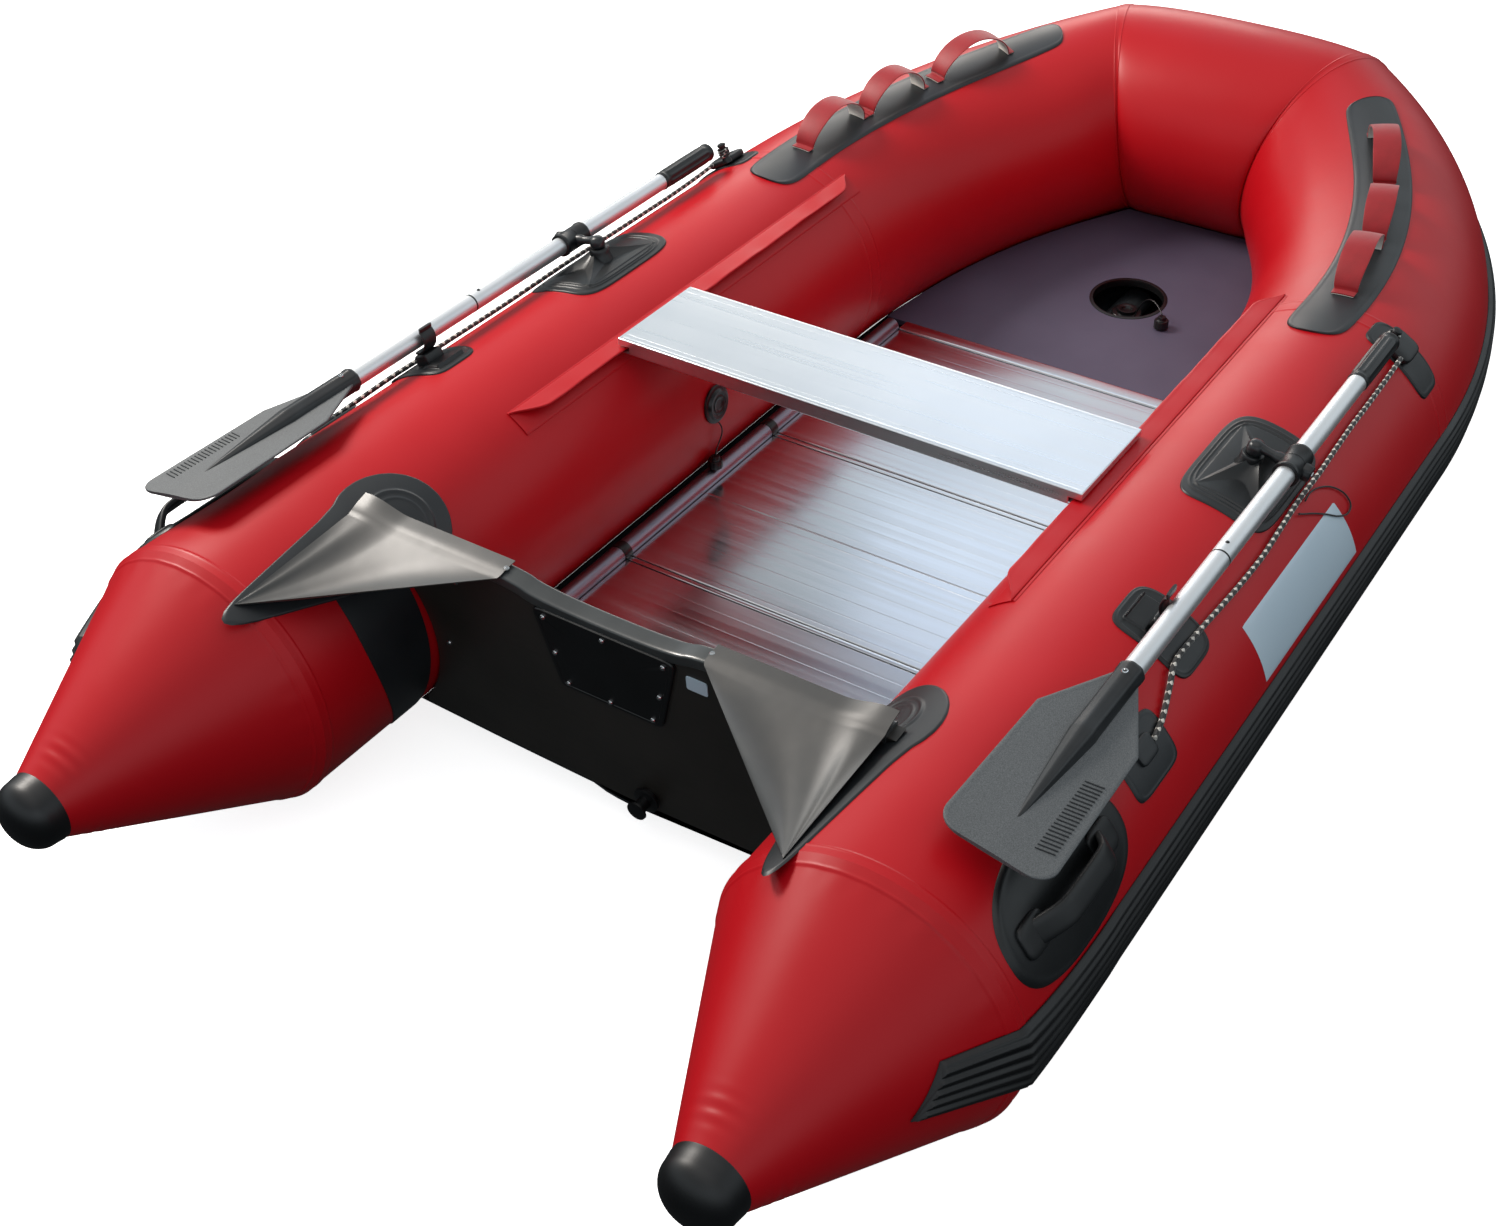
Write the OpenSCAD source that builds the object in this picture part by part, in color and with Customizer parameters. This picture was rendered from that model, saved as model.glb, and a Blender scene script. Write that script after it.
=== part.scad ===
// Inflatable sport boat: air tubes, V bottom, transom, aluminium floor, sliding seat and two oars.
// X runs forward to the bow, Y to port, Z up. The origin is on the floor under the middle of the boat.

/* [Hull] */
// Overall length, from the cone caps to the front of the rub strake
overall_l = 2955; // [2450:5:3560]
// Beam over the side tubes, without the rub strake
beam = 1500; // [1400:10:1800]
// Diameter of the air tubes
tube_d = 420; // [350:5:505]
// Length of the stern cones
cone_l = 317; // [260:1:385]
// Radius of a cone where its cap begins
cap_r = 52; // [43:1:63]
// Length of a cone cap
cap_l = 54; // [45:1:66]
// From the transom's top edge back to the seam between tube and cone
cone_seam = 219; // [180:1:265]
// Length of the curved bow, along the boat
bow_l = 851; // [700:1:1000]
// How far the tube's centre rises at the bow
bow_rise = 87; // [70:1:105]
// Half the distance between the two bow seams
bow_seam_y = 206; // [170:1:230]
// Thickness of the rub strake
strake_t = 14; // [10:1:18]
// Width of the rub strake, in degrees around the tube
strake_deg = 26; // [20:1:32]
// Thickness of the bottom sheet
sheet_t = 5; // [4:0.5:6]

/* [Transom] */
// Thickness of the transom board
transom_t = 25; // [20:1:30]
// How far the transom's shoulders stay below the tops of the tubes
shoulder_drop = 16; // [0:1:40]
// Depth of the motor cut-out below the shoulders
notch_h = 20; // [16:1:40]
// Half the width of the motor cut-out at its foot
notch_half = 110; // [92:1:132]
// Rake of the transom
transom_rake = 5; // [3:0.5:8]

/* [Floor and seat] */
// Height of the floor's top face above the ground
floor_z = 80; // [70:1:96]
// Thickness of the floor panels
floor_t = 14; // [10:1:18]
// Length of one floor panel, held back where the bow leaves less room
panel_l = 449; // [375:1:538]
// Fore-and-aft width of the seat board
seat_w = 206; // [170:1:247]
// Thickness of the seat board
seat_t = 25; // [21:1:30]
// Distance of the seat's middle ahead of the transom
seat_at = 699; // [640:1:860]
// Length of the seat rails
rail_l = 1000; // [830:1:1040]
// Diameter of the round hatch in the bow board
hatch_d = 140; // [115:1:168]

/* [Oars] */
// Diameter of the oar shafts
shaft_d = 30; // [25:1:34]
// Width of an oar blade
blade_w = 148; // [123:1:170]
// Length of an oar blade behind its collar
blade_l = 375; // [310:1:400]
// Distance of the rowlocks ahead of the transom
rowlock_at = 785; // [700:1:860]
// Height of the oar's centre line above the tube, along the rowlock's axis
oar_h = 38.5; // [38:0.5:48]

/* [Fittings] */
// Thickness of the glued patches
patch_t = 2.5; // [2:0.1:3]
// Width of a carry strap
strap_w = 38; // [32:1:45]
// Diameter of the grab line
line_d = 8; // [7:0.5:10]

/* [Hidden] */
$fn = 48;
clear = 0.5;
tube_r = tube_d / 2;
tube_y = beam / 2 - tube_r;
tube_z = tube_r;
aft_x = -overall_l / 2;
// The strake's flat outer face lies this far inside its corners
strake_sag = 0.76;
front_x = overall_l / 2 - strake_t - tube_r + strake_sag;
transom_x = aft_x + cone_l + cap_l + cone_seam;
seam_x = transom_x - cone_seam;
bow_x = front_x - bow_l;
sides = 48;

// ---- curves of the air tubes ----

function unit(v) = v / norm(v);
function mix(a, b, t) = a + (b - a) * t;
function cubic(p, u) = pow(1 - u, 3) * p[0] + 3 * u * pow(1 - u, 2) * p[1]
    + 3 * u * u * (1 - u) * p[2] + pow(u, 3) * p[3];
function cubic_dir(p, u) = unit(pow(1 - u, 2) * (p[1] - p[0]) + 2 * u * (1 - u) * (p[2] - p[1])
    + u * u * (p[3] - p[2]));
function mirrored(v) = [v.x, -v.y, v.z];

// The port bow quarter's centre line, from the straight tube to the bow seam
seam_point = [front_x + 2, bow_seam_y, tube_z + 0.9 * bow_rise];
quarter = [[bow_x, tube_y, tube_z], [bow_x + 0.515 * bow_l, tube_y, tube_z],
    [front_x - 130, mix(bow_seam_y, tube_y, 0.47), tube_z + 0.45 * bow_rise], seam_point];
// The front tube's centre line, from the port seam to the starboard seam
front_lead = [front_x, 0.62 * bow_seam_y, tube_z + 1.03 * bow_rise];
front = [seam_point, front_lead, mirrored(front_lead), mirrored(seam_point)];
seam_dir = unit(cubic_dir(quarter, 1) + cubic_dir(front, 0));

// A station is [centre, direction of the path, direction square to the ring]
function quarter_lean(u) = u > 0.5 ? pow((u - 0.5) / 0.5, 2) : 0;
function quarter_at(u) = [cubic(quarter, u), cubic_dir(quarter, u),
    unit(mix(cubic_dir(quarter, u), seam_dir, quarter_lean(u)))];
function front_lean(v) = pow(abs(1 - 2 * v), 2);
function front_at(v) = [cubic(front, v), cubic_dir(front, v), unit(mix(cubic_dir(front, v),
    v < 0.5 ? seam_dir : -mirrored(seam_dir), front_lean(v)))];
function straight_at(x) = [[x, tube_y, tube_z], [1, 0, 0], [1, 0, 0]];
// A point on a tube: a is the angle from the top, positive outboard, and r the distance from the centre
function on_tube(s, a, r) = let(inward = unit(cross(s[2], [0, 0, 1])), up = cross(inward, s[2]))
    s[0] + r * (cos(a) * up - sin(a) * inward);
function ring(s, r) = [for (i = [0:sides - 1]) on_tube(s, 360 * i / sides, r)];

// A closed solid through rings that all have the same number of points
module loft(rings) {
    n = len(rings[0]);
    last = len(rings) - 1;
    walls = [for (j = [0:last - 1], i = [0:n - 1])
        [j * n + i, j * n + (i + 1) % n, (j + 1) * n + (i + 1) % n, (j + 1) * n + i]];
    foot = [for (i = [0:n - 1]) n - 1 - i];
    head = [for (i = [0:n - 1]) last * n + i];
    polyhedron([for (r = rings) each r], concat(walls, [foot], [head]), convexity = 6);
}
// The same, wound the other way
module loft_back(rings) loft([for (i = [len(rings) - 1:-1:0]) rings[i]]);

module starboard() mirror([0, 1, 0]) children();
module both() {
    children();
    starboard() children();
}

module quarter_tube(r = tube_r, steps = 18) loft_back([for (i = [0:steps]) ring(quarter_at(i / steps), r)]);
module front_tube(r = tube_r, steps = 12) loft_back([for (i = [0:steps]) ring(front_at(i / steps), r)]);
module straight_tube(r = tube_r, from = seam_x, to = bow_x)
    translate([from, tube_y, tube_z]) rotate([0, 90, 0]) cylinder(r = r, h = to - from);

// ---- air tubes ----

module port_side_tube() color("firebrick") straight_tube();
module starboard_side_tube() color("firebrick") starboard() straight_tube();
module port_bow_tube() color("firebrick") quarter_tube();
module starboard_bow_tube() color("firebrick") starboard() quarter_tube();
module front_bow_tube() color("firebrick") front_tube();

cone_drop = 5;
cone_inset = 5;
cap_x = seam_x - cone_l;
function cone_ring(x, r, t) = [for (i = [0:sides - 1]) let(a = 360 * i / sides)
    [x, tube_y - cone_inset * t + r * sin(a), tube_z + cone_drop * t + r * cos(a)]];
module stern_cone() loft_back([for (t = [0:0.25:1])
    cone_ring(seam_x - cone_l * t, mix(tube_r, cap_r, t), t)]);
module port_stern_cone() color("firebrick") stern_cone();
module starboard_stern_cone() color("firebrick") starboard() stern_cone();

cap_nose = 22;
module cone_cap()
    translate([cap_x, tube_y - cone_inset, tube_z + cone_drop]) rotate([0, -90, 0])
        rotate_extrude($fn = 72) intersection() {
            union() {
                square([cap_r, cap_l - cap_nose - 12]);
                translate([0, cap_l - cap_nose - 12]) quarter_oval(cap_r, cap_nose + 12);
            }
            square([cap_r, cap_l]);
        }
// A quarter of an ellipse, drawn by its equation
module quarter_oval(a, b, n = 16)
    polygon(concat([[0, 0]], [for (i = [0:n]) [a * cos(90 * i / n), b * sin(90 * i / n)]]));
module cone_caps() color("black") both() cone_cap();

// ---- bottom and keel ----

// The bottom sheet is glued to the tubes along this angle, which moves under the tube towards the bow
glue_aft = -134;
glue_bow = -168;
glue_gap = 0.8;
keel_half = 55;
keel_z = 12;
keel_aft_z = 44;
bottom_x = transom_x + 33;
function bottom_station(t) = t < 0.5 ? straight_at(mix(bottom_x, bow_x, t * 2))
    : quarter_at(0.97 * (2 * t - 1));
function glue_angle(t) = t < 0.5 ? glue_aft : mix(glue_aft, glue_bow, 2 * t - 1);
function sheet_edge(t, down) = on_tube(bottom_station(t), glue_angle(t) - down / tube_r * 180 / PI,
    tube_r + glue_gap);
function keel_height(t) =
    let(e = sheet_edge(t, 0).z, dive = min(1, t / 0.12), rise = pow(max(0, 2 * t - 1), 2))
    mix(mix(keel_aft_z, keel_z, dive), e - 6, rise);
// Half of the sheet's section: height at a share s of the half width, 0 at the keel and 1 at the glued edge
function sheet_z(t, s, y) = let(e = sheet_edge(t, 0).z, k = keel_height(t),
    flat = mix(k + 10, e, pow(s, 1.2)), keel = k + 10 * (1 - sqrt(max(0, 1 - pow(y / keel_half, 2)))))
    y < keel_half ? min(flat, keel + 8 * s) : flat;
shares = [0, 0.05, 0.1, 0.16, 0.3, 0.6];
function sheet_half(t, down) = let(e = sheet_edge(t, down)) concat(
    [for (s = shares) [e.x, e.y * s, sheet_z(t, s, e.y * s) - down]], [e]);
function sheet_row(t) = let(top = sheet_half(t, 0), low = sheet_half(t, sheet_t), n = len(shares)) concat(
    [for (i = [n:-1:1]) mirrored(top[i])], top,
    [for (i = [n:-1:0]) low[i]], [for (i = [1:n]) mirrored(low[i])]);
sheet_steps = [0, 0.04, 0.08, 0.12, 0.25, 0.4, 0.5, 0.58, 0.66, 0.74, 0.82, 0.88, 0.94, 1];
module hull_bottom() color("dimgray") loft([for (t = sheet_steps) sheet_row(t)]);

// The inflatable keel lies on the bottom sheet under the floor
keel_w = 62;
keel_from = transom_x + 345;
keel_to = front_x - 335;
keel_top = floor_z - floor_t - 1;
module air_keel() color("gray") translate([keel_from, 0, 0]) rotate([90, 0, 90])
    linear_extrude(keel_to - keel_from) oval_on_foot(keel_w / 2, (keel_top - keel_z - 13) / 2, keel_z + 12);
module oval_on_foot(a, b, foot, n = 24)
    polygon([for (i = [0:n - 1]) [a * cos(360 * i / n), foot + b + b * sin(360 * i / n)]]);

// ---- transom ----

shoulder_z = tube_d - shoulder_drop;
notch_slope = 50;
board_gap = patch_t + 1.5;
board_foot = 53;
board_r = tube_r + board_gap;
board_reach = tube_y - 0.79 * board_r;
board_side_z = sheet_edge(0, 0).z + 2;
trim_t = 5;
trim_over = 3;
top_reach = tube_y - sqrt(pow(board_r, 2) - pow(shoulder_z - tube_z, 2));
// Places a drawing of the (Y, Z) plane on the raked board, starting d ahead of its aft face
module on_transom(t, d = 0) translate([transom_x, 0, shoulder_z]) rotate([0, -transom_rake, 0])
    translate([d, 0, -shoulder_z]) rotate([90, 0, 90]) linear_extrude(t) children();
function top_line(lift) = [[-top_reach, shoulder_z + lift], [-notch_half - notch_slope, shoulder_z + lift],
    [-notch_half, shoulder_z - notch_h + lift], [notch_half, shoulder_z - notch_h + lift],
    [notch_half + notch_slope, shoulder_z + lift], [top_reach, shoulder_z + lift]];
drain_y = -43;
drain_z = 79;
drain_r = 14;
module clear_of_tubes(r) difference() {
    children();
    both() straight_tube(r, seam_x, bow_x);
}
module transom() color("darkslategray") difference() {
    clear_of_tubes(board_r) on_transom(transom_t) polygon(concat(top_line(0),
        [[board_reach, board_side_z], [0, board_foot], [-board_reach, board_side_z]]));
    on_transom(transom_t + 20, -10) translate([drain_y, drain_z]) circle(r = drain_r);
}
module transom_trim() color("dimgray") clear_of_tubes(board_r)
    on_transom(transom_t + 2 * trim_over, -trim_over)
    polygon(concat(top_line(trim_t), [for (i = [5:-1:0]) top_line(0)[i]]));

plate_t = 6;
plate_top = shoulder_z - notch_h - 6;
plate_foot = plate_top - 134;
plate_half = 120;
plate_foot_half = 86;
module plate_outline() polygon([[-plate_foot_half, plate_foot], [plate_foot_half, plate_foot],
    [plate_half, plate_top], [-plate_half, plate_top]]);
module motor_plates() color("black") {
    on_transom(plate_t, -plate_t) plate_outline();
    on_transom(plate_t, transom_t) plate_outline();
}

module drain_valve() color("black") {
    on_transom(transom_t + 7, -7) translate([drain_y, drain_z]) circle(r = drain_r);
    on_transom(5, -12) translate([drain_y, drain_z]) circle(r = 21);
    on_transom(18, -30) translate([drain_y, drain_z]) circle(r = 11);
    on_transom(5, -35) translate([drain_y, drain_z]) circle(r = 16);
}

// ---- floor ----

floor_x = transom_x + 60;
stringer_r = 16;
stringer_z = floor_z + 4;
inner_reach = tube_y - sqrt(pow(tube_r, 2) - pow(stringer_z + stringer_r - tube_z, 2));
stringer_y = inner_reach - stringer_r - 7;
floor_half = stringer_y - stringer_r - 1;
joint = 2;
connector_l = 32;
floor_reach = 120;
panel_run = min(panel_l, (bow_x + floor_reach - floor_x) / 3);
module panel(i, l = panel_run - joint) translate([floor_x + i * panel_run, -floor_half, floor_z - floor_t])
    cube([l, 2 * floor_half, floor_t]);
module aft_floor_panel() color("silver") panel(0, panel_run - 30 - joint);
module middle_floor_panel() color("silver") translate([-30, 0, 0]) panel(1);
module fore_floor_panel() color("silver") translate([-30, 0, 0]) panel(2);
connector_x = floor_x + 3 * panel_run - 30;
module floor_connector() color("silver") translate([connector_x, -floor_half, floor_z - floor_t])
    cube([connector_l, 2 * floor_half, floor_t + 3]);

board_x = connector_x + connector_l + 1;
board_rise = 3.7;
board_t = 12;
board_clear = 3;
hatch_x = transom_x + 1700;
hatch_y = -18;
function board_z(x) = floor_z + (x - board_x) * tan(board_rise);
// The bow board's edge follows the tube's inner face at the board's height
function board_edge(u) = let(s = quarter_at(u), z = board_z(min(s[0].x, front_x - 60)),
    inward = unit([s[1].y, -s[1].x]), reach = sqrt(pow(tube_r, 2) - pow(s[0].z - z, 2)) + board_clear)
    [s[0].x, s[0].y] + inward * reach;
edge_points = [for (u = [0.06:0.04:0.98]) board_edge(u)];
board_dip = tube_z + bow_rise - board_z(front_x - 105);
board_front = front_x - sqrt(pow(tube_r, 2) - pow(board_dip, 2)) - board_clear;
module bow_board_outline() intersection() {
    polygon(concat([[board_x - 20, edge_points[0].y]], edge_points,
        [for (i = [len(edge_points) - 1:-1:0]) [edge_points[i].x, -edge_points[i].y]],
        [[board_x - 20, -edge_points[0].y]]));
    translate([board_x, -tube_y]) square([board_front - board_x, 2 * tube_y]);
}
module bow_board() color("slategray") translate([board_x, 0, floor_z]) rotate([0, -board_rise, 0])
    translate([-board_x, 0, -board_t]) linear_extrude(board_t) difference() {
        bow_board_outline();
        translate([hatch_x, hatch_y]) circle(d = hatch_d);
    }

stringer_l = 3 * panel_run - 30;
module floor_stringers() color("silver") both() translate([floor_x, stringer_y, stringer_z]) rotate([0, 90, 0])
    cylinder(r = stringer_r, h = stringer_l);

// ---- seat ----

rail_x = transom_x + 341;
flap_t = 4;
flap_deg = 29.4;
flap_z = tube_z + (tube_r + 3.5) * cos(flap_deg) - flap_t;
flap_root = tube_y - sqrt(pow(tube_r + 1, 2) - pow(flap_z - tube_z, 2));
flap_tip = tube_y - 142;
seat_half = tube_y - 127;
seat_base = flap_z - 6;
slot_h = flap_t + 4;
slot_d = seat_half - flap_tip + 6;
module arc_sheet(from, to, r, t) difference() {
    intersection() {
        circle(r = r + t, $fn = 96);
        polygon([[0, 0], 2 * r * [sin(from), cos(from)], 2 * r * [sin((from + to) / 2), cos((from + to) / 2)],
            2 * r * [sin(to), cos(to)]]);
    }
    circle(r = r, $fn = 96);
}
module along(x, l) translate([x, 0, 0]) rotate([90, 0, 90]) linear_extrude(l) children();
module seat_rails() color("firebrick") both() along(rail_x, rail_l) {
    translate([tube_y, tube_z]) arc_sheet(-42, -29, tube_r + 1.5, 2);
    translate([flap_tip, flap_z]) square([flap_root - flap_tip, flap_t]);
}
module seat_board() color("silver") along(transom_x + seat_at - seat_w / 2, seat_w) difference() {
    translate([-seat_half, seat_base]) square([2 * seat_half, seat_t]);
    translate([seat_half - slot_d, flap_z - 2]) square([slot_d + 1, slot_h]);
    translate([-seat_half - 1, flap_z - 2]) square([slot_d + 1, slot_h]);
}

// ---- patches on the straight tubes ----

// A patch of thickness t: a drawing in (X, width) is wrapped on the port tube around angle a
module wrapped(a, t = patch_t, lift = clear) intersection() {
    translate([0, tube_y, tube_z]) rotate([0, 90, 0]) difference() {
        translate([0, 0, aft_x]) cylinder(r = tube_r + lift + t, h = overall_l, $fn = 96);
        translate([0, 0, aft_x - 1]) cylinder(r = tube_r + lift, h = overall_l + 2, $fn = 96);
    }
    translate([0, tube_y, tube_z]) rotate([-a, 0, 0]) translate([0, 0, tube_r * 0.35])
        linear_extrude(tube_r) children();
}
module rounded(w, h, r) {
    translate([-w / 2 + r, -h / 2]) square([w - 2 * r, h]);
    translate([-w / 2, -h / 2 + r]) square([w, h - 2 * r]);
    for (i = [-1, 1], j = [-1, 1]) translate([i * (w / 2 - r), j * (h / 2 - r)]) circle(r = r);
}
module oval(a, b, n = 32) polygon([for (i = [0:n - 1]) [a * cos(360 * i / n), b * sin(360 * i / n)]]);

corner_deg = -40;
corner_at = 42;
module corner_patch() wrapped(corner_deg) translate([transom_x + corner_at, 0]) {
    oval(97, 92);
    polygon([[-320, 34], [-300, 46], [-60, 70], [10, 60], [10, -60], [-60, -60], [-300, 16]]);
}
module corner_patches() color("black") both() corner_patch();

// ---- fabric webs between the transom and the tubes ----

web_t = 2;
web_deg = -31;
web_r = tube_r + patch_t + 2;
web_apex = transom_x - 238;
web_root = transom_x - 6;
web_in = notch_half + notch_slope + 8;
web_out_y = tube_y + web_r * sin(web_deg);
web_out_z = tube_z + web_r * cos(web_deg);
module transom_web() polyhedron(
    [[web_root, web_in, shoulder_z - 8], [web_root, web_out_y, web_out_z], [web_apex, web_out_y, web_out_z],
    [web_root, web_in, shoulder_z - 8 + web_t], [web_root, web_out_y, web_out_z + web_t],
    [web_apex, web_out_y, web_out_z + web_t]],
    [[0, 2, 1], [3, 4, 5], [0, 1, 4, 3], [1, 2, 5, 4], [2, 0, 3, 5]]);
module transom_webs() color("dimgray") both() transom_web();

// ---- rowlocks and oars ----

// The rowlock's axis stands square to the tube at this angle
lock_deg = 12.4;
lock_x = transom_x + rowlock_at;
pin_reach = 58;
// Local frame of a fitting on the port tube: Z outwards at angle a, X forward, the origin on the surface
module at_tube(x, a) translate([x, tube_y, tube_z]) rotate([-a, 0, 0]) translate([0, 0, tube_r]) children();
socket_r = 6.1;
socket_d = 20;
post_r = 17;
post_h = 27;
mound_h = 13;
mound_l = 190;
mound_w = 100;
mound_top_l = 60;
mound_top_w = 40;
lock_patch_l = 252;
lock_patch_w = 150;
module frustum(l, w, top_l, top_w, low, high) intersection() {
    rotate([90, 0, 0]) translate([0, 0, -w]) linear_extrude(2 * w)
        polygon([[-l / 2, low], [l / 2, low], [l / 2, 3], [top_l / 2, high], [-top_l / 2, high], [-l / 2, 3]]);
    rotate([90, 0, 90]) translate([0, 0, -l]) linear_extrude(2 * l)
        polygon([[-w / 2, low], [w / 2, low], [w / 2, 3], [top_w / 2, high], [-top_w / 2, high], [-w / 2, 3]]);
}
module rowlock_base() {
    wrapped(lock_deg + 2) translate([lock_x, 0]) rounded(lock_patch_l, lock_patch_w, 28);
    difference() {
        at_tube(lock_x, lock_deg) union() {
            frustum(mound_l, mound_w, mound_top_l, mound_top_w, -12, mound_h);
            translate([0, 0, -5]) cylinder(r = post_r, h = post_h + 5);
        }
        straight_tube(tube_r + clear + patch_t, lock_x - 150, lock_x + 150);
        at_tube(lock_x, lock_deg) translate([0, 0, post_h - socket_d])
            cylinder(r = socket_r, h = socket_d + 1);
    }
}
module port_rowlock_base() color("black") rowlock_base();
module starboard_rowlock_base() color("black") starboard() rowlock_base();

head_r = 13;
head_gap = 0.5;
spigot_r = 6.05;
pin_r = 7;
nut_r = 13;
collar_r = 20;
module rowlock_pin() difference() {
    at_tube(lock_x, lock_deg) {
        translate([0, 0, post_h - socket_d + 2]) cylinder(r = spigot_r, h = socket_d);
        translate([0, 0, post_h + head_gap]) cylinder(r = head_r, h = oar_h + 9 - post_h - head_gap);
        translate([0, 8, oar_h]) rotate([-90, 0, 0]) cylinder(r = pin_r, h = pin_reach - 8 - collar_r + 5);
        translate([0, pin_reach + collar_r - 6, oar_h]) rotate([-90, 0, 0]) cylinder(r = nut_r, h = 18);
    }
    on_oar() translate([-collar_l, 0, 0]) rotate([0, 90, 0]) cylinder(r = collar_r, h = 2 * collar_l);
}
collar_l = 62;
shaft_r = shaft_d / 2;
grip_x = 266;
grip_l = 154;
grip_r = shaft_r + 1.5;
shaft_aft = -552;
// Places a drawing made around the oar's own axis, with X forward from the rowlock
module on_oar() at_tube(lock_x, lock_deg) translate([0, pin_reach, oar_h]) rotate([lock_deg, 0, 0]) children();
module port_rowlock_pin() color("dimgray") rowlock_pin();
module starboard_rowlock_pin() color("dimgray") starboard() rowlock_pin();
module oar_collar() on_oar() rotate([0, 90, 0]) difference() {
    translate([0, 0, -collar_l / 2]) cylinder(r = collar_r, h = collar_l);
    translate([0, 0, -collar_l]) cylinder(r = shaft_r, h = 2 * collar_l);
}
module port_oar_collar() color("black") oar_collar();
module starboard_oar_collar() color("black") starboard() oar_collar();
module oar_shaft() on_oar() translate([shaft_aft, 0, 0]) rotate([0, 90, 0])
    cylinder(r = shaft_r, h = grip_x - shaft_aft);
module port_oar_shaft() color("silver") oar_shaft();
module starboard_oar_shaft() color("silver") starboard() oar_shaft();
module oar_grip() on_oar() translate([grip_x, 0, 0]) rotate([0, 90, 0]) cylinder(r = grip_r, h = grip_l);
module port_oar_grip() color("black") oar_grip();
module starboard_oar_grip() color("black") starboard() oar_grip();

blade_t = 5;
blade_tilt = 12;
neck_r = shaft_r + 4;
neck_l = 140;
tail_l = 190;
blade_back = shaft_aft - blade_l;
blade_round = 30;
module blade_outline() {
    polygon([[-neck_r, 0], [-125, blade_w / 2 - 4], [-blade_l + blade_round, blade_w / 2],
        [-blade_l + blade_round, -blade_w / 2], [-125, -blade_w / 2 + 4], [-neck_r, 0]]);
    translate([-blade_l, -blade_w / 2 + blade_round]) square([blade_round + 1, blade_w - 2 * blade_round]);
    for (j = [-1, 1]) translate([-blade_l + blade_round, j * (blade_w / 2 - blade_round)])
        circle(r = blade_round);
}
module oar_blade() on_oar() translate([shaft_aft, 0, 0]) {
    rotate([-blade_tilt, 0, 0]) translate([0, 0, -blade_t / 2]) linear_extrude(blade_t) blade_outline();
    rotate([0, -90, 0]) cylinder(r = neck_r, h = neck_l);
    translate([-neck_l, 0, 0]) rotate([0, -90, 0]) cylinder(r1 = neck_r, r2 = 3, h = tail_l, $fn = 48);
}
module port_oar_blade() color("gray") oar_blade();
module starboard_oar_blade() color("gray") starboard() oar_blade();

// ---- clips, holders and patches ----

clip_x = transom_x + 388;
oar_deg = atan2(tube_r + oar_h, pin_reach);
// The oar's centre, seen from the tube's centre: its angle from the top and its distance
oar_from_top = lock_deg + 90 - oar_deg;
oar_dist = norm([tube_r + oar_h, pin_reach]);
shaft_clear = 5.5;
saddle_top = oar_dist - tube_r - shaft_r - shaft_clear;
jaw_in = shaft_r + shaft_clear;
module oar_clip() {
    wrapped(26) translate([clip_x, 0]) rounded(106, 132, 24);
    difference() {
        at_tube(clip_x, oar_from_top) {
            translate([-22, -40, -10]) cube([44, 62, 10 + saddle_top]);
            translate([-14, -jaw_in - 6, 0]) cube([28, 6, oar_dist - tube_r + 8]);
        }
        straight_tube(tube_r + clear + patch_t, clip_x - 80, clip_x + 80);
    }
}
module oar_clips() color("black") both() oar_clip();

holder_x = transom_x + 1270;
holder_deg = 31;
module grip_holder() {
    wrapped(36) translate([holder_x + 6, 0]) rounded(76, 146, 16);
    difference() {
        union() {
            at_tube(holder_x, holder_deg) translate([-30, -26, -10]) cube([64, 54, 28]);
            at_tube(holder_x, oar_from_top) translate([-36, -9, 0]) cube([26, 18, oar_dist - tube_r + 6]);
        }
        straight_tube(tube_r + clear + patch_t, holder_x - 80, bow_x + 20);
    }
}
module grip_holders() color("black") both() grip_holder();

line_patch_x = transom_x + 200;
module line_patch() {
    wrapped(48) translate([line_patch_x, 0]) rounded(118, 84, 20);
    difference() {
        at_tube(line_patch_x, 46) translate([-22, -16, -6]) cube([44, 32, 14]);
        straight_tube(tube_r + clear + patch_t, line_patch_x - 80, line_patch_x + 80);
    }
}
module line_patches() color("black") both() line_patch();

handle_x = transom_x - 45;
handle_deg = 53;
handle_a = 146;
handle_b = 0.4 * tube_r;
bar_w = 34;
bar_h = 40;
bar_l = 200;
module stern_handle() {
    wrapped(handle_deg) translate([handle_x, 0]) oval(handle_a, handle_b);
    difference() {
        at_tube(handle_x, handle_deg) rotate([90, 0, 0]) translate([0, 0, -bar_w / 2]) linear_extrude(bar_w)
            difference() {
                polygon([[-bar_l / 2, -4], [-bar_l / 2, 4], [-bar_l / 2 + 45, bar_h], [bar_l / 2 - 45, bar_h],
                    [bar_l / 2, 4], [bar_l / 2, -4]]);
                polygon([[-bar_l / 2 + 26, -5], [-bar_l / 2 + 26, 4], [-bar_l / 2 + 55, bar_h - 12],
                    [bar_l / 2 - 55, bar_h - 12], [bar_l / 2 - 26, 4], [bar_l / 2 - 26, -5]]);
            }
        straight_tube(tube_r + clear + patch_t, handle_x - 200, handle_x + 200);
    }
}
module stern_handles() color("black") both() stern_handle();

label_deg = 62;
label_t = 0.8;
module side_labels() color("lightsteelblue") both() wrapped(label_deg, label_t, 0.4)
    translate([transom_x + 695, 0])
    polygon([[-184, -48], [169, -48], [186, 48], [-174, 48]]);

// ---- carry patches and straps on the bow quarters ----

carry_from = -0.07;
carry_to = 0.8;
carry_steps = 14;
carry_mid = -3;
carry_half = 14;
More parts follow.
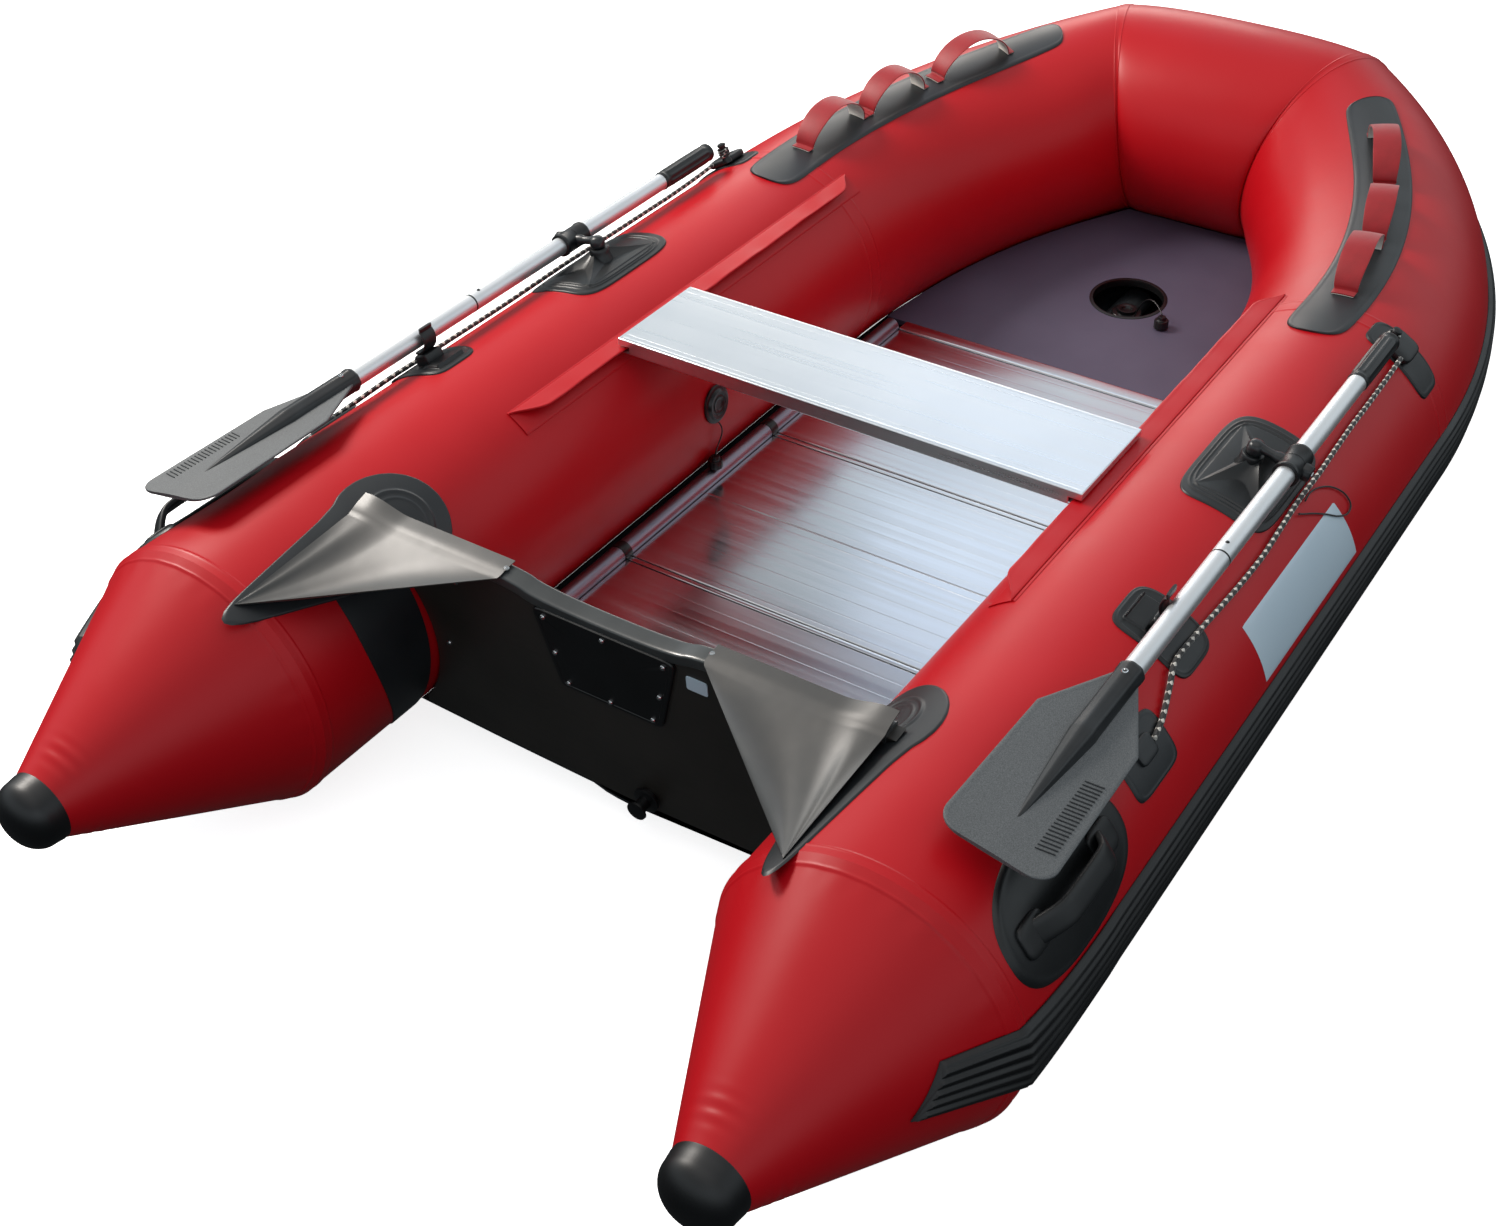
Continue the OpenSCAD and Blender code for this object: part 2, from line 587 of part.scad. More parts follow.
// Shares of the quarter's curve. Below 0 they run back along the straight tube at the curve's own pace
quarter_pace = 3 * 0.515 * bow_l;
function carry_at(u) = u < 0 ? straight_at(bow_x + quarter_pace * u) : quarter_at(u);
function carry_ring(u, r0, r1) =
    let(s = carry_at(u), a0 = carry_mid - carry_half, a1 = carry_mid + carry_half)
    concat([for (a = [a0:4:a1]) on_tube(s, a, r1)], [for (a = [a1:-4:a0]) on_tube(s, a, r0)]);
module carry_patch() loft([for (i = [0:carry_steps]) carry_ring(mix(carry_from, carry_to, i / carry_steps),
    tube_r + 0.6, tube_r + 0.6 + patch_t)]);
module port_carry_patch() color("black") carry_patch();
module starboard_carry_patch() color("black") starboard() carry_patch();

strap_t = 3;
strap_h = 56;
strap_ends = [0.05, 0.19, 0.22, 0.36, 0.42, 0.61];
strap_steps = 12;
strap_foot = tube_r + 0.6 + patch_t + 0.8;
strap_deg = strap_w / tube_r * 90 / PI;
function strap_ring(u, lift) = let(s = quarter_at(u)) [on_tube(s, carry_mid - strap_deg, strap_foot + lift),
    on_tube(s, carry_mid - strap_deg, strap_foot + lift + strap_t),
    on_tube(s, carry_mid + strap_deg, strap_foot + lift + strap_t),
    on_tube(s, carry_mid + strap_deg, strap_foot + lift)];
module strap(u0, u1) loft([for (i = [0:strap_steps]) let(t = i / strap_steps)
    strap_ring(mix(u0, u1, t), strap_h * sqrt(sin(180 * t)))]);
module carry_straps() for (k = [0, 2, 4]) strap(strap_ends[k], strap_ends[k + 1]);
module port_carry_straps() color("firebrick") carry_straps();
module starboard_carry_straps() color("firebrick") starboard() carry_straps();

// ---- rub strake ----

strake_mid = 91;
strake_gap = 0.6;
stern_gap = 2;
strake_lift = 13;
strake_aft = seam_x - 137;
strake_foot = [1, 0.5, 0, -0.5, -1];
strake_slant = 46;
// The stern end climbs a little and follows the cone
function stern_share(x) = max(0, seam_x - x) / cone_l;
function stern_at(x) = let(t = stern_share(x))
    [[x, tube_y - cone_inset * t, tube_z + cone_drop * t], [1, 0, 0], [1, 0, 0]];
function stern_r(x) = mix(tube_r, cap_r, stern_share(x));
function stern_mid(x) = strake_mid - strake_lift * pow(max(0, transom_x - x) / 310, 2);
function stern_point(x, f, lift) = on_tube(stern_at(x), stern_mid(x) + f * strake_deg / 2,
    stern_r(x) + stern_gap + lift * (strake_t - stern_gap));
// The last ring is cut at a slant, with its foot furthest aft
function stern_ring(x, slant) = concat(
    [for (f = strake_form) stern_point(x + slant * (1 - f[0]) / 2, f[0], f[1])],
    [for (f = strake_foot) stern_point(x + slant * (1 - f) / 2, f, 0)]);
// Across the strake: share of the half width, and share of the thickness
strake_form = [[-1, 0.15], [-0.55, 1], [0.55, 1], [1, 0.15]];
function strake_ring(s, mid) = let(h = strake_deg / 2) concat(
    [for (f = strake_form) on_tube(s, mid + f[0] * h, tube_r + strake_gap + f[1] * (strake_t - strake_gap))],
    [for (f = strake_foot) on_tube(s, mid + f * h, tube_r + strake_gap)]);
stern_steps = [strake_aft + 56, seam_x - 43, seam_x, transom_x - 160, transom_x - 80, transom_x];
module side_strake() loft(concat([stern_ring(strake_aft, strake_slant)],
    [for (x = stern_steps) stern_ring(x, 0)], [strake_ring(straight_at(bow_x), strake_mid)],
    [for (i = [1:18]) strake_ring(quarter_at(i / 18), strake_mid)]));
module port_rub_strake() color("black") side_strake();
module starboard_rub_strake() color("black") starboard() side_strake();
module bow_rub_strake() color("black") loft([for (i = [0:12]) strake_ring(front_at(i / 12), strake_mid)]);

// ---- valves ----

valve_x = transom_x + 752;
valve_deg = -84;
valve_r = 34;
module side_valve() at_tube(valve_x, valve_deg) translate([0, 0, 0.6]) {
    cylinder(r = valve_r, h = 4);
    translate([0, 0, 4]) cylinder(r = valve_r - 9, h = 5);
}
module side_valves() color("black") both() side_valve();
valve_cap_y = stringer_y - 4;
valve_cap_z = stringer_z + stringer_r + 2;
module side_valve_caps() color("black") both() translate([valve_x, valve_cap_y, valve_cap_z]) {
    cylinder(r = 13, h = 16);
    translate([0, 0, 16]) cylinder(r = 8, h = 7);
}
lanyard_d = 2.6;
// A cord: a tube of eight sides swept along its points
function cord_dir(p, i) = unit(p[min(i + 1, len(p) - 1)] - p[max(i - 1, 0)]);
function cord_ring(p, i, d) = let(t = cord_dir(p, i), level = abs(t.z) > 0.9 ? [1, 0, 0] : [0, 0, 1],
    side = unit(cross(t, level)), up = cross(side, t))
    [for (k = [0:7]) p[i] + d / 2 * (cos(45 * k) * side + sin(45 * k) * up)];
module cord(p, d) loft([for (i = [0:len(p) - 1]) cord_ring(p, i, d)]);
// Points evenly along a smooth curve through four control points
function curve(c, n) = [for (i = [0:n]) cubic(c, i / n)];
eye_r = tube_r + 5;
eye_deg = valve_deg - 9.6;
valve_eye = [valve_x, tube_y + eye_r * sin(eye_deg), tube_z + eye_r * cos(eye_deg)];
module side_valve_lanyards() color("black") both()
    cord(curve([valve_eye, valve_eye + [6, -14, -18], [valve_x + 4, valve_cap_y - 2, valve_cap_z + 52],
        [valve_x, valve_cap_y, valve_cap_z + 23]], 14), lanyard_d);

keel_valve_z = keel_top;
module keel_valve() color("black") translate([hatch_x, hatch_y, keel_valve_z]) {
    cylinder(r = 30, h = 6);
    translate([0, 0, 6]) cylinder(r = 20, h = 7);
}
keel_cap = [transom_x + 1632, -118];
keel_cap_z = board_z(keel_cap.x) + 1.5;
module keel_valve_cap() color("black") translate([keel_cap.x, keel_cap.y, keel_cap_z]) {
    cylinder(r = 14, h = 17);
    translate([0, 0, 17]) cylinder(r = 8, h = 8);
}
module keel_valve_lanyard() color("black") cord(curve([[hatch_x - 20, hatch_y - 24, keel_valve_z + 4],
    [hatch_x - 34, hatch_y - 44, keel_cap_z + 44], [keel_cap.x + 34, keel_cap.y + 34, keel_cap_z + 46],
    [keel_cap.x, keel_cap.y, keel_cap_z + 27]], 18), lanyard_d);

// ---- grab lines ----

// The line's points, as [distance ahead of the transom, angle from the top, height over the tube]
line_route = [[223, 46, 7], [260, 44, 7], [310, 39, 8], [350, 35.5, 9], [430, 36, 8], [500, 37, 7.5],
    [570, 37.8, 7],
    [640, 38, 7], [710, 37, 8], [790, 36, 9], [870, 36, 8.5], [940, 35.5, 8], [1020, 35, 8], [1100, 35, 8],
    [1180, 34.6, 10], [1239, 34, 13]];
function line_point(p) = on_tube(straight_at(transom_x + p[0]), p[1], tube_r + p[2]);
module grab_line() cord([for (p = line_route) line_point(p)], line_d);
module port_grab_line() color("dimgray") grab_line();
module starboard_grab_line() color("dimgray") starboard() grab_line();

lanyard_route = [[800, 38.5, 5], [826, 38.2, 4], [852, 40, 3], [878, 44, 3], [897, 50, 3], [899, 55.5, 3],
    [880, 57, 3], [852, 54, 3], [826, 49, 3], [800, 44.5, 3], [780, 41.5, 3.5], [768, 39.6, 4.5]];
module rowlock_lanyard() color("black") starboard() cord([for (p = lanyard_route) line_point(p)], lanyard_d);

// ---- towing rings under the bow ----

ring_v = 0.24;
ring_deg = 128;
ring_r = 19;
module tow_ring() {
    s = front_at(ring_v);
    foot = on_tube(s, ring_deg, tube_r);
    reach = foot - s[0];
    out = unit(reach - (reach * s[1]) * s[1]);
    translate(foot) rotate([0, acos(out.z), atan2(out.y, out.x)]) {
        translate([0, 0, 1]) cylinder(r = 42, h = 3);
        translate([-8, -12, 4]) cube([16, 24, 6]);
        translate([0, 0, ring_r + 7]) rotate([90, 0, 0]) rotate_extrude() translate([ring_r, 0]) circle(r = 3);
    }
}
module tow_rings() color("silver") both() tow_ring();

port_side_tube();
starboard_side_tube();
port_bow_tube();
starboard_bow_tube();
front_bow_tube();
port_stern_cone();
starboard_stern_cone();
cone_caps();
hull_bottom();
air_keel();
transom();
transom_trim();
motor_plates();
drain_valve();
aft_floor_panel();
middle_floor_panel();
fore_floor_panel();
floor_connector();
bow_board();
floor_stringers();
seat_board();
seat_rails();
corner_patches();
transom_webs();
port_rowlock_base();
starboard_rowlock_base();
port_rowlock_pin();
starboard_rowlock_pin();
port_oar_collar();
starboard_oar_collar();
port_oar_shaft();
starboard_oar_shaft();
port_oar_grip();
starboard_oar_grip();
port_oar_blade();
starboard_oar_blade();
oar_clips();
grip_holders();
port_carry_patch();
starboard_carry_patch();
port_carry_straps();
starboard_carry_straps();
stern_handles();
port_rub_strake();
starboard_rub_strake();
bow_rub_strake();
side_valves();
side_valve_caps();
side_valve_lanyards();
keel_valve();
keel_valve_cap();
keel_valve_lanyard();
port_grab_line();
starboard_grab_line();
rowlock_lanyard();
line_patches();
tow_rings();
side_labels();
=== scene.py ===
import math
import bmesh
import bpy
import numpy as np
from mathutils import Matrix, Vector


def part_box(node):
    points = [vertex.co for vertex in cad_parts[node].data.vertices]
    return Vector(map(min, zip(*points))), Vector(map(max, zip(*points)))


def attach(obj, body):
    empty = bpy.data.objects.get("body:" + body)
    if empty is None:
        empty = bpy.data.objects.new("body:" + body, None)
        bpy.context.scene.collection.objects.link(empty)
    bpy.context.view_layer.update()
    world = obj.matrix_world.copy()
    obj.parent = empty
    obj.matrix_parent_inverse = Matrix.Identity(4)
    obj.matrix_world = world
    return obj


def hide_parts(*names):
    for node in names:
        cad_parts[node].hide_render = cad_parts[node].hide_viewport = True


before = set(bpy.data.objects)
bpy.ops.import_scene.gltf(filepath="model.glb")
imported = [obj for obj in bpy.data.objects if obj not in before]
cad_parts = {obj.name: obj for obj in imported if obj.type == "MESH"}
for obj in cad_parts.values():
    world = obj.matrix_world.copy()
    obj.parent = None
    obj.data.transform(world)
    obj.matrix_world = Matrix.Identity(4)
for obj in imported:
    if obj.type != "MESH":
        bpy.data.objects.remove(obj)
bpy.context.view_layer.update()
print("frame loaded")


# Camera
camera = {"place": (-2.44835, -1.27701, 1.98052), "right": (0.54954, -0.83543, -0.00770),
          "up": (0.51814, 0.33357, 0.78756), "lens": 46.27, "sensor": 36.0}


def addCamera(values):
    data = bpy.data.cameras.new("camera")
    data.lens = values["lens"]
    data.sensor_width = values["sensor"]
    made = bpy.data.objects.new("camera", data)
    bpy.context.scene.collection.objects.link(made)
    right, up = Vector(values["right"]).normalized(), Vector(values["up"])
    back = right.cross(up).normalized()
    up = back.cross(right)
    turn = Matrix((right, up, back)).transposed().to_4x4()
    made.matrix_world = Matrix.Translation(values["place"]) @ turn
    bpy.context.scene.camera = made


addCamera(camera)


# Measures taken from the frame
def cornersOf(nodeName):
    low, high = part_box(nodeName)
    return np.array(low), np.array(high)


tubeLow, tubeHigh = cornersOf("port_side_tube")
coneLow = cornersOf("port_stern_cone")[0]
transomLow = cornersOf("transom")[0]
tubeR = (tubeHigh[2] - tubeLow[2]) / 2
tubeY = (tubeHigh[1] + tubeLow[1]) / 2
tubeZ = (tubeHigh[2] + tubeLow[2]) / 2
seamX, bowX = tubeLow[0], tubeHigh[0]
capX = coneLow[0]
transomX = transomLow[0]
bow = {"length": 0.851, "pull": 0.515, "seamY": 0.206, "turn": 0.47, "sheer": 0.0783, "crown": 0.08961,
       "back": 0.13, "frontPull": 0.12772}
frontX = bowX + bow["length"]
shaftLow, shaftHigh = cornersOf("port_oar_shaft")
collarLow, collarHigh = cornersOf("port_oar_collar")
oarCentre = np.array([(collarLow[0] + collarHigh[0]) / 2, (shaftLow[1] + shaftHigh[1]) / 2,
                      (shaftLow[2] + shaftHigh[2]) / 2])
shaftR = (shaftHigh[2] - shaftLow[2]) / 2
lockX = oarCentre[0]
lockDeg = 12.4

turnY = bow["seamY"] + bow["turn"] * (tubeY - bow["seamY"])
bowCurve = {"quarter": np.array([[bowX, tubeY, tubeZ], [bowX + bow["pull"] * bow["length"], tubeY, tubeZ],
                                 [frontX - bow["back"], turnY, tubeZ + bow["sheer"] / 2],
                                 [frontX + 0.002, bow["seamY"], tubeZ + bow["sheer"]]])}
bowCurve["front"] = np.array([bowCurve["quarter"][3], [frontX, bow["frontPull"], tubeZ + bow["crown"]],
                              [frontX, -bow["frontPull"], tubeZ + bow["crown"]],
                              bowCurve["quarter"][3] * [1, -1, 1]])


# Shapes as functions of two parameters. A unit vector is a vector over its own length
def unit(v):
    return v / np.linalg.norm(v, axis=-1, keepdims=True)


# 3x^2 - 2x^3, held between 0 and 1
def smoothStep(x):
    x = np.clip(x, 0, 1)
    return x * x * (3 - 2 * x)


# A cubic Bezier: the four control points weighted by the Bernstein polynomials of u
def bezier(p, u):
    u = np.asarray(u, float)[:, None]
    return (1 - u) ** 3 * p[0] + 3 * u * (1 - u) ** 2 * p[1] + 3 * u * u * (1 - u) * p[2] + u ** 3 * p[3]


# Its direction: the weighted differences of neighbouring control points
def bezierSlope(p, u):
    u = np.asarray(u, float)[:, None]
    return unit((1 - u) ** 2 * (p[1] - p[0]) + 2 * u * (1 - u) * (p[2] - p[1]) + u * u * (p[3] - p[2]))


# The seam's plane halves the angle between the quarter's end and the front tube's start
seamSlope = unit(bezierSlope(bowCurve["quarter"], [1])[0] + bezierSlope(bowCurve["front"], [0])[0])


# Stations are centres and ring directions along the tube, which lean into the seam's plane near it
def straightAt(x):
    x = np.asarray(x, float)
    return np.stack([x, x * 0 + tubeY, x * 0 + tubeZ], -1), np.tile([1.0, 0, 0], (len(x), 1))


coneShift = 0.005  # the cone's axis runs inboard and up by this at the cap


def coneAt(x):
    centre, ring = straightAt(x)
    share = np.clip((seamX - centre[:, 0]) / (seamX - capX), 0, 2)[:, None]
    return centre + share * [0, -coneShift, coneShift], ring


def quarterAt(u):
    u = np.asarray(u, float)
    lean = (np.clip((u - 0.5) / 0.5, 0, 1) ** 2)[:, None]
    slope = bezierSlope(bowCurve["quarter"], u)
    return bezier(bowCurve["quarter"], u), unit(slope * (1 - lean) + seamSlope * lean)


# The quarter's stations, run back along the straight tube at the curve's own pace where u is below 0
def carryAt(u):
    centre, ring = quarterAt(np.clip(u, 0, 1))
    return centre + np.minimum(u, 0)[:, None] * [3 * bow["pull"] * bow["length"], 0, 0], ring


def frontAt(v):
    v = np.asarray(v, float)
    lean = (np.abs(1 - 2 * v) ** 2)[:, None]
    seam = np.where(v[:, None] < 0.5, seamSlope, -seamSlope * [1, -1, 1])
    return bezier(bowCurve["front"], v), unit(bezierSlope(bowCurve["front"], v) * (1 - lean) + seam * lean)


# A point on the tube: centre + r (cos a up - sin a inboard), with a in degrees from the top, positive outboard
def onTube(stations, degrees, radius):
    centre, ring = stations
    inboard = unit(np.cross(ring, [0, 0, 1.0]))
    up = np.cross(inboard, ring)
    a = np.radians(degrees) * np.ones((len(centre), 1))
    r = radius * np.ones_like(a)
    outwards = np.cos(a)[..., None] * up[:, None] - np.sin(a)[..., None] * inboard[:, None]
    return centre[:, None] + r[..., None] * outwards


# Faces of a grid of points, row by row. A looped grid's last column meets its first, and caps close its ends
def grid(points, looped=True, caps=True):
    if looped:
        points = np.concatenate([points, points[:, :1]], 1)
    rows, cols = points.shape[:2]
    index = np.arange(rows * cols).reshape(rows, cols)
    quads = np.stack([index[:-1, :-1], index[:-1, 1:], index[1:, 1:], index[1:, :-1]], -1).reshape(-1, 4)
    lengths = np.linalg.norm(np.diff(points, axis=0), axis=-1).mean(1)
    across = np.linalg.norm(np.diff(points, axis=1), axis=-1).mean(0)
    u, v = np.concatenate([[0], np.cumsum(lengths)]), np.concatenate([[0], np.cumsum(across)])
    uv = np.stack(np.meshgrid(u, v, indexing="ij"), -1).reshape(-1, 2)
    ends = [index[0, ::-1], index[-1]] if caps and looped else []
    return {"points": points.reshape(-1, 3), "faces": [quads] + ends, "uv": uv}


# A table of millimetres in metres
def mm(rows):
    return np.array(rows, float) / 1000


# A profile of (radius, height) turned round an axis: x = r cos t, y = r sin t, z = height
def turned(profile, origin=(0, 0, 0), axes=np.eye(3), around=48, lobes=0, depth=0.0):
    profile = np.array(profile, float)
    t = np.linspace(0, 2 * np.pi, around, endpoint=False)
    r = profile[:, :1] * (1 + depth * np.cos(lobes * t))
    local = np.stack([r * np.cos(t), r * np.sin(t), np.broadcast_to(profile[:, 1:2], r.shape)], -1)
    return grid(origin + local @ np.asarray(axes), caps=True)


# A flat profile carried along a path: each point is path + a side + b up
def swept(path, profile, up=(0, 0, 1), caps=True):
    path = np.array(path, float)
    slope = unit(np.gradient(path, axis=0))
    side = unit(np.cross(slope, np.broadcast_to(np.array(up, float), path.shape)))
    lift = np.cross(side, slope)
    profile = np.array(profile, float)
    section = profile[None, :, :1] * side[:, None] + profile[None, :, 1:] * lift[:, None]
    return grid(path[:, None] + section, caps=caps)


# A rounded rectangle by the superellipse |x/a|^n + |y/b|^n = 1
def roundedLoop(width, height, squareness=5.0, count=48):
    t = np.linspace(0, 2 * np.pi, count, endpoint=False)
    c, s = np.cos(t), np.sin(t)
    k = 2 / squareness
    return np.stack([width / 2 * np.sign(c) * np.abs(c) ** k, height / 2 * np.sign(s) * np.abs(s) ** k], -1)


# A rounded block: the superellipsoid of the same kind, from pole to pole
def pebble(size, origin, axes, squareness=5.0, rows=25, cols=48):
    p = np.linspace(-np.pi / 2, np.pi / 2, rows)[:, None]
    k = 2 / squareness
    loop = roundedLoop(2, 2, squareness, cols)
    shrink = np.abs(np.cos(p)) ** k
    z = np.sign(np.sin(p)) * np.abs(np.sin(p)) ** k
    local = np.stack([shrink * loop[:, 0], shrink * loop[:, 1], z * np.ones(cols)], -1) * (np.array(size) / 2)
    return grid(origin + local @ np.asarray(axes), caps=False)


# A polygon as seen from a point inside it: the distance to its edge along each ray, softened round the corners
def rayOutline(corners, centre, count=160, soften=2):
    corners = np.array(corners, float) - centre
    t = np.linspace(0, 2 * np.pi, count, endpoint=False)
    ray = np.stack([np.cos(t), np.sin(t)], -1)[:, None]
    a, b = corners[None], np.roll(corners, -1, 0)[None]
    e = b - a
    cross = ray[..., 0] * e[..., 1] - ray[..., 1] * e[..., 0]
    cross = np.where(np.abs(cross) < 1e-12, 1e-12, cross)
    reach = (a[..., 0] * e[..., 1] - a[..., 1] * e[..., 0]) / cross
    share = (a[..., 0] * ray[..., 1] - a[..., 1] * ray[..., 0]) / cross
    hit = np.where((share >= -1e-6) & (share <= 1 + 1e-6) & (reach > 0), reach, 0).max(1)
    for _ in range(soften):
        hit = (np.roll(hit, 1) + 2 * hit + np.roll(hit, -1)) / 4
    return hit[:, None] * ray[:, 0] + centre


# A patch on the tube: its outline shrinks ring by ring to its middle, and each point stands height(share, x, y)
# off the tube
def relief(x, degrees, outline, height, rings=26, stations=straightAt, foot=0.0003):
    share = np.concatenate([np.linspace(0, 1, rings) ** 0.8, np.linspace(1, 0, 7)])
    rise = np.concatenate([np.ones(rings), np.zeros(7)])[:, None]
    flat = share[:, None, None] * outline[None]
    px, py = flat[..., 0], flat[..., 1]
    h = foot + rise * height(share[:, None] * np.ones(len(outline)), px, py)
    a = degrees + np.degrees(py / tubeR)
    centre, ring = stations((x + px).ravel())
    points = onTube((centre, ring), a.reshape(-1, 1), (tubeR + h).reshape(-1, 1))
    return grid(points.reshape(px.shape + (3,)), caps=False)


edgeShare = 0.02  # of a patch's reach, taken by its rounded edge


def roundedEdge(share, thickness):
    return thickness * np.clip((1 - share) / edgeShare, 0, 1) ** 0.5


# Level, with a rounded edge and a raised rim line at each given share of the way out
def flatPatch(thickness, rims=(), rimHeight=0.0008, rimWidth=0.025):
    def height(share, px, py):
        h = roundedEdge(share, thickness)
        for rim in rims:
            h = h + rimHeight * np.exp(-((share - rim) / rimWidth) ** 2)
        return h
    return height


# Local axes of a fitting on the port tube: X forward, Y outboard and down, Z outwards
def tubeFrame(x, degrees):
    a = math.radians(degrees)
    axes = np.array([[1, 0, 0], [0, math.cos(a), -math.sin(a)], [0, math.sin(a), math.cos(a)]])
    return np.array([x, tubeY, tubeZ]) + tubeR * axes[2], axes


def placed(part, origin, axes):
    part["points"] = np.asarray(origin) + part["points"] @ np.asarray(axes)
    return part


def mirrored(part):
    return {"points": part["points"] * [1, -1, 1], "faces": part["faces"], "uv": part["uv"]}


sides = {"port": 1, "starboard": -1}
weldGap = 2e-6


# Puts parts into one mesh, welds their seams, turns every face outwards and gives it to its body
def makePiece(name, parts, finishName, body="hull", replaces=(), side=None, sharp=40):
    if side == "both":
        parts = parts + [mirrored(p) for p in parts]
    elif side == "starboard":
        parts = [mirrored(p) for p in parts]
    points, loops, sizes, uv, start = [], [], [], [], 0
    for part in parts:
        points.append(part["points"])
        for faces in part["faces"]:
            faces = faces if faces.ndim == 2 else faces[None]
            loops.append((faces + start).ravel())
            sizes.append(np.full(len(faces), faces.shape[1]))
            uv.append(part["uv"][faces.ravel()])
        start += len(part["points"])
    points, loops, sizes, uv = map(np.concatenate, (points, loops, sizes, uv))
    mesh = bpy.data.meshes.new(name)
    mesh.vertices.add(len(points))
    mesh.vertices.foreach_set("co", points.astype(np.float32).ravel())
    mesh.loops.add(len(loops))
    mesh.loops.foreach_set("vertex_index", loops.astype(np.int32))
    mesh.polygons.add(len(sizes))
    mesh.polygons.foreach_set("loop_start", np.concatenate([[0], np.cumsum(sizes)[:-1]]).astype(np.int32))
    mesh.uv_layers.new(name="surface").data.foreach_set("uv", uv.astype(np.float32).ravel())
    mesh.update(calc_edges=True)
    welded = bmesh.new()
    welded.from_mesh(mesh)
    bmesh.ops.remove_doubles(welded, verts=welded.verts, dist=weldGap)
    bmesh.ops.recalc_face_normals(welded, faces=welded.faces)
    welded.to_mesh(mesh)
    welded.free()
    mesh.shade_smooth()
    mesh.set_sharp_from_angle(angle=math.radians(sharp))
    made = bpy.data.objects.new(name, mesh)
    bpy.context.scene.collection.objects.link(made)
    mesh.materials.append(finish[finishName])
    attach(made, body)
    if replaces:
        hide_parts(*replaces)
    return made


# The same parts as a port piece and, mirrored, a starboard one. An oar's pieces ride on their own side's oar
def makePair(ending, parts, finishName, node=None, sharp=50, body="hull"):
    for sideName in sides:
        makePiece(sideName + ending, parts, finishName, sideName + "_oar" if body == "oar" else body,
                  [sideName + node] if node else (), sideName, sharp)


# A node of the frame that keeps its own shape takes a new finish
def refinish(nodeName, finishName):
    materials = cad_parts[nodeName].data.materials
    materials.clear()
    materials.append(finish[finishName])


# Materials, with their colours given as sRGB hex
def linear(hexColour, alpha=1.0):
    parts = [int(hexColour[i:i + 2], 16) / 255 for i in (1, 3, 5)]
    return tuple(c / 12.92 if c <= 0.04045 else ((c + 0.055) / 1.055) ** 2.4 for c in parts) + (alpha,)


# Adds a node: settings are its own fields or its sockets' values, and links say which output feeds which socket
def addNode(material, kind, settings=None, links=None):
    made = material.node_tree.nodes.new("ShaderNode" + kind)
    for key, value in (settings or {}).items():
        if isinstance(key, str) and hasattr(made, key):
            setattr(made, key, value)
        else:
            made.inputs[key].default_value = value
    for key, (source, output) in (links or {}).items():
        material.node_tree.links.new(source.outputs[output], made.inputs[key])
    return made


# A finish from its dictionary: two close colours mixed by a cloudy noise, a roughness that wanders between two
# values, and bumps added one on another. stretch is (x, y, z) cycles per metre, and a brushed finish has one
# small value
def makeFinish(name, values):
    material = bpy.data.materials.new(name)
    material.use_nodes = True
    tree = material.node_tree
    shader = tree.nodes["Principled BSDF"]
    for key, value in values["sockets"].items():
        shader.inputs[key].default_value = value
    where = addNode(material, "TexCoord")
    space = "UV" if values.get("uv") else "Object"
    cloud = addNode(material, "TexNoise", {"Scale": values["cloud"], "Detail": 3.0}, {"Vector": (where, space)})
    spread = addNode(material, "MapRange", {1: 0.3, 2: 0.7}, {0: (cloud, 0)})
    colours = values["colours"]
    mix = addNode(material, "Mix", {"data_type": "RGBA", 6: linear(colours[0]), 7: linear(colours[1])},
                  {0: (spread, 0)})
    tree.links.new(mix.outputs[2], shader.inputs["Base Color"])
    low, high = values["roughness"]
    stretch = values.get("roughStretch", (9, 9, 9))
    wear = addNode(material, "Mapping", {"Scale": stretch}, {"Vector": (where, space)})
    grain = addNode(material, "TexNoise", {"Scale": 1.0, "Detail": 4.0}, {"Vector": (wear, 0)})
    rough = addNode(material, "MapRange", {1: 0.3, 2: 0.7, 3: low, 4: high}, {0: (grain, 0)})
    tree.links.new(rough.outputs[0], shader.inputs["Roughness"])
    last = None
    for stretch, depth, strength in values["bumps"]:
        spot = addNode(material, "Mapping", {"Scale": stretch}, {"Vector": (where, space)})
        bumps = addNode(material, "TexNoise", {"Scale": 1.0, "Detail": 2.0}, {"Vector": (spot, 0)})
        links = {"Height": (bumps, 0)}
        if last:
            links["Normal"] = (last, 0)
        last = addNode(material, "Bump", {"Strength": strength, "Distance": depth}, links)
    if last:
        tree.links.new(last.outputs[0], shader.inputs["Normal"])
    return material


